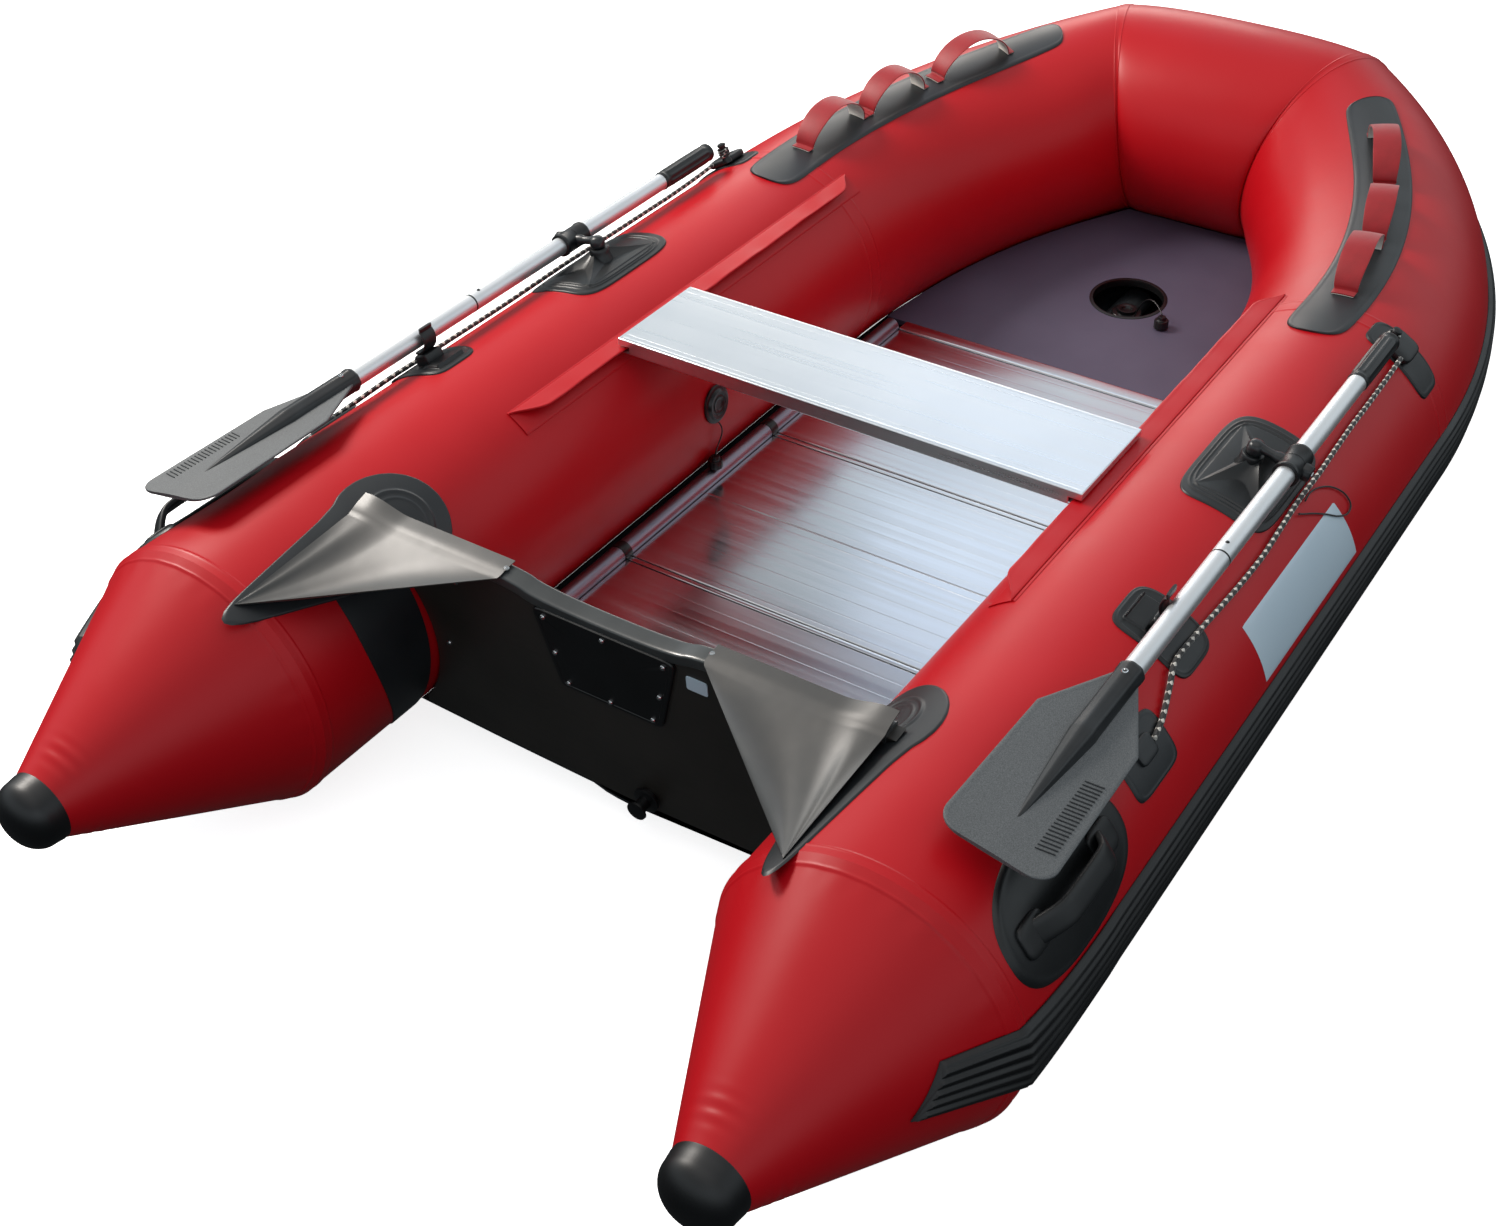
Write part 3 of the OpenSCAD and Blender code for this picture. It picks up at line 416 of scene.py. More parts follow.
finishes = {
    # PVC-coated polyester, calendered: an even red skin with a soft gloss and the faint grain of its cloth
    "coatedPvcRed": {"sockets": {"IOR": 1.53, "Specular IOR Level": 0.28}, "cloud": 2.2,
                     "colours": ("#b00613", "#ba0916"), "roughness": (0.36, 0.42),
                     "bumps": [((14, 14, 14), 0.003, 0.08), ((900, 900, 900), 0.0002, 0.08)]},
    # The same cloth in charcoal, thicker and more matt, for patches
    "coatedPvcCharcoal": {"sockets": {"IOR": 1.5, "Coat Weight": 0.1, "Coat Roughness": 0.3}, "cloud": 9.0,
                          "colours": ("#181b1e", "#1f2326"), "roughness": (0.38, 0.5),
                          "bumps": [((700, 700, 700), 0.0002, 0.2)]},
    # The bottom's cloth, grey and matt
    "coatedPvcGrey": {"sockets": {"IOR": 1.5}, "cloud": 5.0, "colours": ("#1d1f21", "#26292c"),
                      "roughness": (0.45, 0.6), "bumps": [((500, 500, 500), 0.0003, 0.2)]},
    # Glossy fabric webs, thin enough to show folds
    "webPvc": {"sockets": {"IOR": 1.54, "Coat Weight": 0.8, "Coat Roughness": 0.33}, "cloud": 14.0,
               "colours": ("#2c2b29", "#3d3a36"), "roughness": (0.40, 0.52),
               "bumps": [((16, 16, 16), 0.004, 0.3), ((600, 600, 600), 0.0002, 0.15)]},
    # Extruded rubber: nearly black, a dull sheen along its ribs, faint lines from the die
    "extrudedRubber": {"sockets": {"IOR": 1.52}, "cloud": 12.0, "colours": ("#050608", "#0a0c0f"),
                       "roughness": (0.36, 0.5), "bumps": [((300, 300, 300), 0.0003, 0.15)]},
    # Moulded rubber: charcoal, satin, with a fine spark-eroded grain
    "mouldedRubber": {"sockets": {"IOR": 1.52}, "cloud": 20.0, "colours": ("#0d0f11", "#15181a"),
                      "roughness": (0.32, 0.48), "bumps": [((1100, 1100, 1100), 0.0002, 0.15)]},
    # Moulded nylon: dark grey, a little glossier
    "mouldedNylon": {"sockets": {"IOR": 1.53}, "cloud": 25.0, "colours": ("#17191b", "#212427"),
                     "roughness": (0.3, 0.42), "bumps": [((900, 900, 900), 0.0002, 0.12)]},
    # ABS plates and valves, black and smooth
    "mouldedAbs": {"sockets": {"IOR": 1.54}, "cloud": 15.0, "colours": ("#060708", "#0c0e10"),
                   "roughness": (0.3, 0.42), "bumps": [((800, 800, 800), 0.0002, 0.12)]},
    # Marine plywood under satin black paint: the grain shows as long shallow waves
    "paintedPlywood": {"sockets": {"IOR": 1.5, "Coat Weight": 0.2, "Coat Roughness": 0.3}, "cloud": 6.0,
                       "colours": ("#211f1c", "#2b2825"), "roughness": (0.34, 0.48),
                       "bumps": [((60, 4, 120), 0.0008, 0.2)]},
    # Extruded PVC channel on the transom's top: dark grey and glossy
    "extrudedChannel": {"sockets": {"IOR": 1.5, "Coat Weight": 0.4, "Coat Roughness": 0.15}, "cloud": 12.0,
                        "colours": ("#2b2d2e", "#393c3c"), "roughness": (0.25, 0.36),
                        "bumps": [((20, 6, 20), 0.001, 0.1)]},
    # Mill-finish aluminium floor: bright streaks across the boat, left by the die
    "milledAluminium": {"sockets": {"Metallic": 1.0}, "cloud": 3.0, "colours": ("#dfe3e8", "#eaedf0"),
                        "roughness": (0.14, 0.26), "roughStretch": (70, 0.9, 70),
                        "bumps": [((260, 1.0, 260), 0.0002, 0.10)]},
    # Drawn aluminium tube, with streaks along it
    "drawnAluminium": {"sockets": {"Metallic": 1.0}, "cloud": 6.0, "colours": ("#8d8794", "#a19ba8"),
                       "roughness": (0.32, 0.42), "roughStretch": (2, 90, 90),
                       "bumps": [((3, 500, 500), 0.0002, 0.15)]},
    # Satin anodised aluminium for the seat: very pale, with fine lines across the boat
    "anodisedSeat": {"sockets": {"Metallic": 1.0}, "cloud": 4.0, "colours": ("#dde2e7", "#e8ecf0"),
                     "roughness": (0.26, 0.34), "roughStretch": (120, 1.5, 120),
                     "bumps": [((420, 1.5, 420), 0.0002, 0.12)]},
    # Silver anodised oar tube
    "anodisedTube": {"sockets": {"Metallic": 1.0}, "cloud": 8.0, "colours": ("#eceef0", "#f4f5f6"),
                     "roughness": (0.40, 0.48), "roughStretch": (4, 60, 60),
                     "bumps": [((4, 300, 300), 0.0001, 0.05)]},
    # Polypropylene blade with an etched surface that scatters light
    "etchedPolypropylene": {"sockets": {"IOR": 1.49}, "cloud": 700.0, "colours": ("#46494b", "#65686a"),
                            "roughness": (0.5, 0.6), "bumps": [((700, 700, 700), 0.0005, 0.4)]},
    # Painted plywood bow board: matt purple-grey
    "mattBoard": {"sockets": {"IOR": 1.5}, "cloud": 5.0, "colours": ("#4e475b", "#565064"),
                  "roughness": (0.45, 0.6), "bumps": [((250, 250, 250), 0.0003, 0.12)]},
    # Polyester webbing, dyed red, with a soft sheen from its yarns
    "webbingRed": {"sockets": {"IOR": 1.5, "Sheen Weight": 0.3, "Sheen Roughness": 0.4}, "cloud": 30.0,
                   "colours": ("#8f0611", "#a00c18"), "roughness": (0.5, 0.65), "uv": True,
                   "bumps": [((420, 420, 1), 0.0004, 0.5)]},
    # Its undyed backing
    "webbingPale": {"sockets": {"IOR": 1.5, "Sheen Weight": 0.3, "Sheen Roughness": 0.4}, "cloud": 30.0,
                    "colours": ("#ddd7cc", "#ece7de"), "roughness": (0.6, 0.75), "uv": True,
                    "bumps": [((420, 420, 1), 0.0004, 0.4)]},
    # Vinyl film: flat pale blue under a clear layer
    "vinylFilm": {"sockets": {"IOR": 1.5, "Coat Weight": 0.3, "Coat Roughness": 0.2}, "cloud": 3.0,
                  "colours": ("#b9cddb", "#c3d5e1"), "roughness": (0.32, 0.4),
                  "bumps": [((12, 12, 12), 0.001, 0.08)]},
    # Polished stainless wire
    "polishedStainless": {"sockets": {"Metallic": 1.0}, "cloud": 20.0, "colours": ("#b9bbbd", "#cfd1d2"),
                          "roughness": (0.14, 0.24), "bumps": [((200, 200, 200), 0.0001, 0.1)]},
    # Thin braided cord, black
    "braidedCord": {"sockets": {"IOR": 1.5, "Sheen Weight": 0.2}, "cloud": 60.0, "colours": ("#0e0f10", "#1b1c1e"),
                    "roughness": (0.55, 0.7), "uv": True, "bumps": [((900, 300, 1), 0.0003, 0.5)]},
    # Moulded TPU lanyard: soft black plastic
    "mouldedTpu": {"sockets": {"IOR": 1.5}, "cloud": 40.0, "colours": ("#101214", "#1a1d1f"),
                   "roughness": (0.35, 0.45), "bumps": [((400, 400, 400), 0.0002, 0.1)]}}
finish = {name: makeFinish(name, values) for name, values in finishes.items()}


# Braided rope: black yarn with a pale fleck where the tracer yarn comes up, in a slanted check along the rope
def makeRope(name, values):
    material = bpy.data.materials.new(name)
    material.use_nodes = True
    tree = material.node_tree
    shader = tree.nodes["Principled BSDF"]
    shader.inputs["Roughness"].default_value = 0.6
    shader.inputs["Sheen Weight"].default_value = 0.3
    where = addNode(material, "TexCoord")
    slant = addNode(material, "Mapping", {"Scale": values["cells"], "Rotation": (0, 0, values["slant"])},
                    {"Vector": (where, "UV")})
    check = addNode(material, "TexChecker", {"Scale": 1.0}, {"Vector": (slant, 0)})
    wide = addNode(material, "Mapping", {"Scale": (0.5, 0.5, 1)}, {"Vector": (slant, 0)})
    second = addNode(material, "TexChecker", {"Scale": 1.0}, {"Vector": (wide, 0)})
    both = addNode(material, "Math", {"operation": "MULTIPLY"}, {0: (check, 1), 1: (second, 1)})
    mix = addNode(material, "Mix", {"data_type": "RGBA", 6: linear(values["dark"]), 7: linear(values["pale"])},
                  {0: (both, 0)})
    tree.links.new(mix.outputs[2], shader.inputs["Base Color"])
    weave = addNode(material, "TexWave", {"Scale": 1.0, "wave_type": "BANDS"}, {"Vector": (slant, 0)})
    bump = addNode(material, "Bump", {"Strength": 0.6, "Distance": 0.0006}, {"Height": (weave, 1)})
    tree.links.new(bump.outputs[0], shader.inputs["Normal"])
    return material


rope = {"cells": (185, 185, 1), "slant": 0.78, "dark": "#060607", "pale": "#dcd8cf"}
finish["braidedRope"] = makeRope("braidedRope", rope)
print("materials made")


# Cords

# A smooth curve through points, by Catmull and Rom's rule, step points to a span
def smoothPath(points, step=8):
    p = np.array(points, float)
    p = np.concatenate([[2 * p[0] - p[1]], p, [2 * p[-1] - p[-2]]])
    t = np.linspace(0, 1, step, endpoint=False)[:, None]
    a, b, c, d = (p[i:len(p) - 3 + i, None] for i in range(4))
    spans = 0.5 * (2 * b + (c - a) * t + (2 * a - 5 * b + 4 * c - d) * t ** 2 + (3 * b - a - 3 * c + d) * t ** 3)
    return np.concatenate([spans.reshape(-1, 3), p[-2:-1]])


def pathLength(path):
    return float(np.linalg.norm(np.diff(path, axis=0), axis=-1).sum())


def circleLoop(diameter, count=12):
    t = np.linspace(0, 2 * np.pi, count, endpoint=False)
    return diameter / 2 * np.stack([np.cos(t), np.sin(t)], -1)


# Points given as (distance ahead of the transom, degrees from the top, height over the tube), in mm
def tubeRoute(route):
    route = np.array(route, float)
    x = transomX + route[:, 0] / 1000
    return onTube(straightAt(x), route[:, 1:2], tubeR + route[:, 2:3] / 1000)[:, 0]


# A round tube swept along the path
def makeCord(name, path, diameter, finishName, replaces, k=1):
    path = path * [1, k, 1]
    part = swept(path, circleLoop(diameter))
    made = makePiece(name, [part], finishName, replaces=replaces, sharp=180)


grabLine = {"diameter": 0.008, "route": [
    (223, 46, 7), (260, 44, 7), (310, 39, 8), (350, 35.5, 9), (430, 36, 8), (500, 37, 7.5), (570, 37.8, 7),
    (640, 38, 7), (710, 37, 8), (790, 36, 9), (870, 36, 8.5), (940, 35.5, 8), (1020, 35, 8), (1100, 35, 8),
    (1180, 34.6, 10), (1239, 34, 13)]}
for sideName, k in sides.items():
    makeCord(sideName + "GrabLine", smoothPath(tubeRoute(grabLine["route"])), grabLine["diameter"],
             "braidedRope", [sideName + "_grab_line"], k)

rowlockLanyard = {"diameter": 0.0026, "route": [
    (800, 38.5, 5), (826, 38.2, 4), (852, 40, 3), (878, 44, 3), (897, 50, 3), (899, 55.5, 3),
    (880, 57, 3), (852, 54, 3), (826, 49, 3), (800, 44.5, 3), (780, 41.5, 3.5), (768, 39.6, 4.5)]}
makeCord("rowlockLanyard", smoothPath(tubeRoute(rowlockLanyard["route"])), rowlockLanyard["diameter"],
         "braidedCord", ["rowlock_lanyard"], -1)

capLow, capHigh = cornersOf("side_valve_caps")
valveX = transomX + 0.752
valveDeg = -84.0
valveEye = onTube(straightAt([valveX]), valveDeg - 9.6, tubeR + 0.005)[0, 0]
capTop = np.array([valveX, capHigh[1] - 0.013, capHigh[2]])
sideLanyard = {"diameter": 0.0026, "control": np.array([
    valveEye, valveEye + [0.006, -0.014, -0.018], capTop + [0.004, -0.002, 0.029], capTop])}
for sideName, k in sides.items():
    makeCord(sideName + "ValveLanyard", bezier(sideLanyard["control"], np.linspace(0, 1, 33)),
             sideLanyard["diameter"], "mouldedTpu", ["side_valve_lanyards"], k)

keelLow, keelHigh = cornersOf("keel_valve")
keelCapLow, keelCapHigh = cornersOf("keel_valve_cap")
hatch = (keelLow + keelHigh) / 2
keelCap = (keelCapLow + keelCapHigh) / 2
keelLanyard = {"diameter": 0.0026, "control": np.array([
    [hatch[0] - 0.020, hatch[1] - 0.024, keelLow[2] + 0.004],
    [hatch[0] - 0.034, hatch[1] - 0.044, keelCapLow[2] + 0.044],
    [keelCap[0] + 0.034, keelCap[1] + 0.034, keelCapLow[2] + 0.046],
    [keelCap[0], keelCap[1], keelCapHigh[2] + 0.002]])}
makeCord("keelValveLanyard", bezier(keelLanyard["control"], np.linspace(0, 1, 33)), keelLanyard["diameter"],
         "mouldedTpu", ["keel_valve_lanyard"], 1)
print("cords made")


# Air tubes
tubeSkin = {"around": 144, "band": 0.028, "rise": 0.0007, "ridge": 0.0007}


# A glued seam: a low band with a thin ridge along each edge, from the distance to its middle
def seamBand(distance, values=tubeSkin):
    half = values["band"] / 2
    band = values["rise"] * smoothStep((half + 0.002 - np.abs(distance)) / 0.003)
    return band + values["ridge"] * np.exp(-((np.abs(distance) - half) / 0.0018) ** 2)


# Sample places: even ones, and close ones near each seam
def samples(low, high, count, seams, reach=0.022, fine=26):
    close = [np.linspace(s - reach, s + reach, fine) for s in seams]
    every = np.concatenate([np.linspace(low, high, count)] + close)
    return np.unique(np.clip(every, low, high))


ringAngles = np.linspace(0, 360, tubeSkin["around"], endpoint=False)[None]
x = samples(seamX, bowX, 90, [seamX, bowX])
sideR = (tubeR + seamBand(x - seamX) + seamBand(x - bowX))[:, None]
sideSkin = grid(onTube(straightAt(x), ringAngles, sideR))
quarterU = samples(0, 1, 110, [0, 1], 0.024)
quarterSpan = pathLength(bezier(bowCurve["quarter"], np.linspace(0, 1, 200)))
quarterRise = seamBand(quarterU * quarterSpan) + seamBand((1 - quarterU) * quarterSpan)
quarterSkin = grid(onTube(quarterAt(quarterU), ringAngles, (tubeR + quarterRise)[:, None]))
frontSpan = pathLength(bezier(bowCurve["front"], np.linspace(0, 1, 100)))
frontV = samples(0, 1, 60, [0, 1], 0.05)
frontRise = seamBand(frontV * frontSpan) + seamBand((1 - frontV) * frontSpan)
frontSkin = grid(onTube(frontAt(frontV), ringAngles, (tubeR + frontRise)[:, None]))
makePiece("frontTube", [frontSkin], "coatedPvcRed", replaces=["front_bow_tube"], sharp=70)
makePair("SideTube", [sideSkin], "coatedPvcRed", "_side_tube", 70)
makePair("BowTube", [quarterSkin], "coatedPvcRed", "_bow_tube", 70)

sternCone = {"capR": 0.052, "fold": 0.0006, "foldAt": 0.88, "pucker": 0.00035, "puckerAt": 0.07, "puckers": 33}


# The cone's radius shrinks evenly to the cap. Small folds stand round it just ahead of the cap, on some sides
# only, and a fainter pucker stands by the seam
def coneRadius(x, degrees, values):
    share = (seamX - x) / (seamX - capX)
    a = np.radians(degrees)
    radius = tubeR + (values["capR"] - tubeR) * share
    patchy = np.cos(a * 1.5 + 0.4) ** 4
    folds = values["fold"] * np.exp(-((share - values["foldAt"]) / 0.06) ** 2) * patchy * np.sin(share * 120)
    pucker = np.exp(-((share - values["puckerAt"]) / 0.05) ** 2) * np.sin(values["puckers"] * a)
    return radius + folds + values["pucker"] * pucker + seamBand(x - seamX)


x = samples(capX, seamX, 150, [seamX])
coneSkin = grid(onTube(coneAt(x), ringAngles, coneRadius(x[:, None], ringAngles, sternCone)))
makePair("SternCone", [coneSkin], "coatedPvcRed", "_stern_cone", 70)

coneCap = {"length": 0.054, "domeR": 0.051, "domeFrom": 0.018}
t = np.linspace(0, np.pi / 2, 22)
capDome = np.stack([coneCap["domeR"] * np.cos(t) ** 0.9,
                    coneCap["domeFrom"] + (coneCap["length"] - coneCap["domeFrom"]) * np.sin(t)], -1)
capProfile = np.concatenate([[[0.001, -0.014], [0.0545, -0.014], [0.0563, -0.0125], [0.0563, -0.011],
                              [0.0535, -0.009], [0.0525, 0.0], [0.0528, 0.004], [0.052, 0.010]], capDome])
capAxes = np.array([[0, 1.0, 0], [0, 0, 1.0], [-1.0, 0, 0]])
makePiece("coneCaps", [turned(capProfile, (capX, tubeY - coneShift, tubeZ + coneShift), capAxes, 72)],
          "extrudedRubber", replaces=["cone_caps"], side="both", sharp=50)
print("air tubes made")


# Rub strake
rubStrake = {"middle": 91.0, "half": 13.0, "gap": 0.0006, "thick": 0.014, "slant": 0.046, "lift": 13.0,
             "start": 0.030, "reach": 0.137}


# Across the strake, from edge to edge: low edges, three rounded ribs and the grooves between them
def strakeProfile(values):
    f = np.linspace(-1, 1, 45)
    ribs = 0.66 + 0.34 * np.cos(f * 3 * np.pi) ** 2 * (np.abs(f) < 0.84)
    edge = smoothStep((1.02 - np.abs(f)) / 0.16)
    lift = values["gap"] + (values["thick"] - values["gap"]) * np.maximum(0.12, edge * ribs)
    back = np.linspace(1, -1, 9)
    return np.concatenate([f, back]), np.concatenate([lift, np.full(9, values["gap"])])


share, rise = strakeProfile(rubStrake)


def strakeRings(stations):
    return onTube(stations, rubStrake["middle"] + share[None] * rubStrake["half"], tubeR + rise[None])


slantFrom, slantTo = seamX - rubStrake["start"], seamX - rubStrake["reach"]
sternX = np.concatenate([np.linspace(slantTo, seamX, 22), np.linspace(seamX, transomX, 16)[1:]])
fade = np.clip((slantFrom - sternX) / (slantFrom - slantTo), 0, 1)[:, None]
slantX = sternX[:, None] + rubStrake["slant"] * fade * (1 - share) / 2
coneShare = np.clip((seamX - slantX) / (seamX - capX), 0, 1)
sternR = tubeR + (sternCone["capR"] - tubeR) * coneShare + 0.0008
sternMiddle = rubStrake["middle"] - rubStrake["lift"] * (np.clip(transomX - slantX, 0, 1) / 0.31) ** 2
centres, ringWays = coneAt(slantX.ravel())
sternRings = onTube((centres, ringWays), (sternMiddle + share * rubStrake["half"]).reshape(-1, 1),
                    (sternR + rise).reshape(-1, 1)).reshape(slantX.shape + (3,))
sideX = np.linspace(transomX, bowX, 40)[1:]
quarterRow = np.linspace(0, 1, 70)[1:]
sideRings = strakeRings(straightAt(sideX))
bowRings = strakeRings(quarterAt(quarterRow))
strakeSkin = grid(np.concatenate([sternRings, sideRings, bowRings]))
makePair("RubStrake", [strakeSkin], "extrudedRubber", "_rub_strake", 60)
frontStrake = grid(strakeRings(frontAt(np.linspace(0, 1, 40))))
makePiece("bowRubStrake", [frontStrake], "extrudedRubber", replaces=["bow_rub_strake"], sharp=60)
print("rub strake made")


# Transom
transom = {"rake": 5.0, "shoulder": 0.404, "thick": 0.025, "notch": 0.020, "notchHalf": 0.110, "slope": 0.050,
           "trimReach": 0.436}
rake = math.radians(transom["rake"])
rakedAxes = np.array([[math.cos(rake), 0, math.sin(rake)], [0, 1.0, 0], [-math.sin(rake), 0, math.cos(rake)]])


# A place on the raked board: d ahead of its aft face, y to port, and its height above the ground on the board
def onTransom(d, y, z):
    local = np.stack(np.broadcast_arrays(np.asarray(d, float), y, np.asarray(z, float) - transom["shoulder"]), -1)
    return np.array([transomX, 0, transom["shoulder"]]) + local @ rakedAxes


half, low, high = transom["notchHalf"], transom["shoulder"] - transom["notch"], transom["shoulder"]
trimLine = np.array([(-transom["trimReach"], high), (-half - transom["slope"], high), (-half, low), (half, low),
                     (half + transom["slope"], high), (transom["trimReach"], high)])
for _ in range(3):  # cutting each corner in turn rounds the line
    first, second = trimLine[:-1] * 0.75 + trimLine[1:] * 0.25, trimLine[:-1] * 0.25 + trimLine[1:] * 0.75
    trimLine = np.concatenate([trimLine[:1], np.stack([first, second], 1).reshape(-1, 2), trimLine[-1:]])
trimPath = onTransom(0.0125, trimLine[:, 0], trimLine[:, 1] - 0.004)
channel = roundedLoop(0.031, 0.019, 6, 40)
makePiece("transomTrim", [swept(trimPath, channel, up=rakedAxes[2])], "extrudedChannel",
          replaces=["transom_trim"], sharp=50)

motorPlate = {"foot": 0.244, "top": 0.378, "footHalf": 0.086, "topHalf": 0.120, "thick": 0.006}
m = motorPlate
plateCorners = [(-m["footHalf"], m["foot"]), (m["footHalf"], m["foot"]), (m["topHalf"], m["top"]),
                (-m["topHalf"], m["top"])]
plateMiddle = np.array([0, (m["foot"] + m["top"]) / 2])
plateLoop = rayOutline(plateCorners, plateMiddle, 200, 3)
# Rings of the plate's outline, shrunk and raised: a rounded edge, a raised border and a sunk middle
plateRings = [(1.0, 0.0), (1.0, 0.0045), (0.985, 0.006), (0.93, 0.006), (0.92, 0.0052), (0.5, 0.0052),
              (0.0, 0.0052)]


def motorPlateSkin(face, outward):
    rows = [onTransom(face + outward * h, *(plateMiddle + s * (plateLoop - plateMiddle)).T) for s, h in plateRings]
    rows.insert(0, onTransom(face, *(plateMiddle + 0 * plateLoop).T))
    return grid(np.stack(rows), caps=False)


makePiece("motorPlates", [motorPlateSkin(0.0, -1), motorPlateSkin(0.025, 1)], "mouldedAbs",
          replaces=["motor_plates"], sharp=35)
screwHead = mm([(0, 2.6), (1.2, 2.6), (1.4, 1.8), (3.4, 2.2), (4.2, 1), (4.2, -1), (0, -1)])
aftAxes = np.array([rakedAxes[1], rakedAxes[2], -rakedAxes[0]])
screwSpots = [(-0.100, 0.366), (0.0, 0.368), (0.100, 0.366), (-0.088, 0.305), (0.088, 0.305), (-0.072, 0.254),
              (0.0, 0.252), (0.072, 0.254)]
screws = [turned(screwHead, onTransom(-0.006, y, z), aftAxes, 20) for y, z in screwSpots]
boardSpots = [(-0.26, 0.355), (0.26, 0.355), (0.30, 0.22)]
screws += [turned(screwHead, onTransom(-0.0001, y, z), aftAxes, 20) for y, z in boardSpots]
rivet = mm([(0, 2.2), (3, 1.8), (4.4, 0.4), (4.4, -1), (0, -1)])
screws += [turned(rivet, onTransom(0.0125, y, high + 0.0055), rakedAxes, 20) for y in (-0.17, 0.17)]
makePiece("transomScrews", screws, "polishedStainless", sharp=30)

drainSpot = onTransom(0.0, -0.043, 0.079)
drainProfile = mm([(0, 34.5), (6, 34.5), (15.5, 34), (16, 31), (12.5, 29.5), (10.5, 28), (10.5, 13),
                   (19, 11.5), (21, 10.5), (21, 7.5), (14, 7), (14, -25), (0, -25)])
makePiece("drainValve", [turned(drainProfile, drainSpot, aftAxes, 48)], "mouldedAbs", replaces=["drain_valve"],
          sharp=35)
makePiece("ratingPlate", [placed(pebble((0.002, 0.034, 0.024), (0, 0, 0), np.eye(3), 9),
                                 onTransom(-0.001, -0.150, 0.352), rakedAxes)],
          "vinylFilm", sharp=50)
refinish("transom", "paintedPlywood")

transomWeb = {"apexX": -0.238, "inner": 0.168, "degrees": -28.5, "thick": 0.0016, "sag": 0.016, "puff": 0.014,
              "foreD": 0.030, "aftD": -0.0055, "lap": 0.12, "lift": 0.0068, "fold": 0.0022, "edgeFold": 0.0025}


# A triangle of cloth: it lies over the board's top edge, then runs down to a point on the tube. It is dished
# between its edges, puffed up by the tube, and a soft fold runs from the root's middle to the point
def webSkin(values, rows=48, cols=48):
    s, t = np.meshgrid(np.linspace(0, 1, rows), np.linspace(0, 1, cols), indexing="ij")
    outer = onTube(straightAt([transomX]), values["degrees"], tubeR + 0.0045)[0, 0]
    along = values["inner"] + t * (outer[1] - values["inner"])
    over = np.clip(s / values["lap"], 0, 1)
    topZ = transom["shoulder"] + values["lift"] + values["puff"] * smoothStep((t - 0.7) / 0.25) * (1 - 0.5 * over)
    top = onTransom(values["foreD"] + (values["aftD"] - values["foreD"]) * over, along, topZ)
    top[..., 2] -= 0.004 * over ** 6
    down = np.clip((s - values["lap"]) / (1 - values["lap"]), 0, 1)[..., None]
    flat = top + down * (outer + [values["apexX"], 0, 0] - top)
    dish = -values["sag"] * 4 * down[..., 0] * (1 - down[..., 0]) * np.sin(np.pi * t) ** 0.8
    fold = values["fold"] * np.exp(-((t - 0.55 - 0.1 * s) / 0.16) ** 2) * np.sin(np.pi * down[..., 0])
    fold += values["edgeFold"] * np.exp(-((t - 0.88) / 0.05) ** 2) * np.sin(np.pi * down[..., 0]) ** 0.5
    flat[..., 2] += dish + fold
    under = flat - [0, 0, values["thick"]]
    ring = np.concatenate([flat, under[:, ::-1]], 1)
    return grid(ring), flat


webPart, webFlat = webSkin(transomWeb)
for sideName in sides:
    web = makePiece(sideName + "TransomWeb", [dict(webPart)], "webPvc",
                    replaces=["transom_webs"], side=sideName, sharp=60)

# A sleeve of charcoal cloth laps the tube where the transom meets it, widest under the web
transomLap = {"length": 0.115, "middle": -94.0, "rise": 34.0, "half": 60.0, "thick": 0.0018, "tip": 4.0,
              "foot": -0.0005}


def lapSkin(values):
    s = 0.5 - 0.5 * np.cos(np.linspace(0, np.pi, 60))
    stations = straightAt(transomX - values["length"] * (1 - s) + 0.003)
    f = np.linspace(-1, 1, 49)
    middle = values["middle"] + values["rise"] * (1 - s)
    half = values["tip"] + values["half"] * s ** 0.45
    degrees = middle[:, None] + half[:, None] * np.concatenate([f, f[::-1]])
    height = np.repeat([values["thick"], values["foot"]], len(f)) * np.ones_like(degrees)
    return grid(onTube(stations, degrees, tubeR + height))


makePair("TransomLap", [lapSkin(transomLap)], "coatedPvcCharcoal")
print("transom made")


# Floor
panelGrooves = {"pitch": 0.0372, "depth": 0.00012, "strip": 0.0065, "bevel": 0.0012, "tilt": 0.004}
stripTilts = np.random.default_rng(4).uniform(-1, 1, 64)


# The panel's top along the boat: strips that each lean a hair, so that they mirror slightly different things,
# with a faint line between them and a deeper one in the panel's middle
def floorPanel(nodeName, values):
    low, high = cornersOf(nodeName)
    x = np.linspace(low[0] + values["strip"] * (nodeName != "aft_floor_panel"),
                    high[0] - values["strip"] * (nodeName != "fore_floor_panel"), 900)
    middle = (low[0] + high[0]) / 2
    strip = np.floor((x - middle) / values["pitch"] + 0.5).astype(int) + 32
    inner = (x - middle) - (strip - 32) * values["pitch"]
    top = high[2] - values["depth"] * np.exp(-((np.abs(inner) - values["pitch"] / 2) / 0.0006) ** 2)
    top += values["tilt"] * stripTilts[strip] * inner - 0.5 * values["tilt"] * values["pitch"]
    top -= 0.0012 * np.exp(-((x - middle) / 0.0011) ** 2)
    top -= values["bevel"] * (2 - smoothStep((x - x[0]) / 0.0015) - smoothStep((x[-1] - x) / 0.0015))
    profile = np.concatenate([np.stack([x, top], -1), [[x[-1], low[2]], [x[0], low[2]]]])
    y = np.linspace(low[1], high[1], 5)
    points = np.stack(np.broadcast_arrays(profile[None, :, 0], y[:, None], profile[None, :, 1]), -1)
    return grid(points)


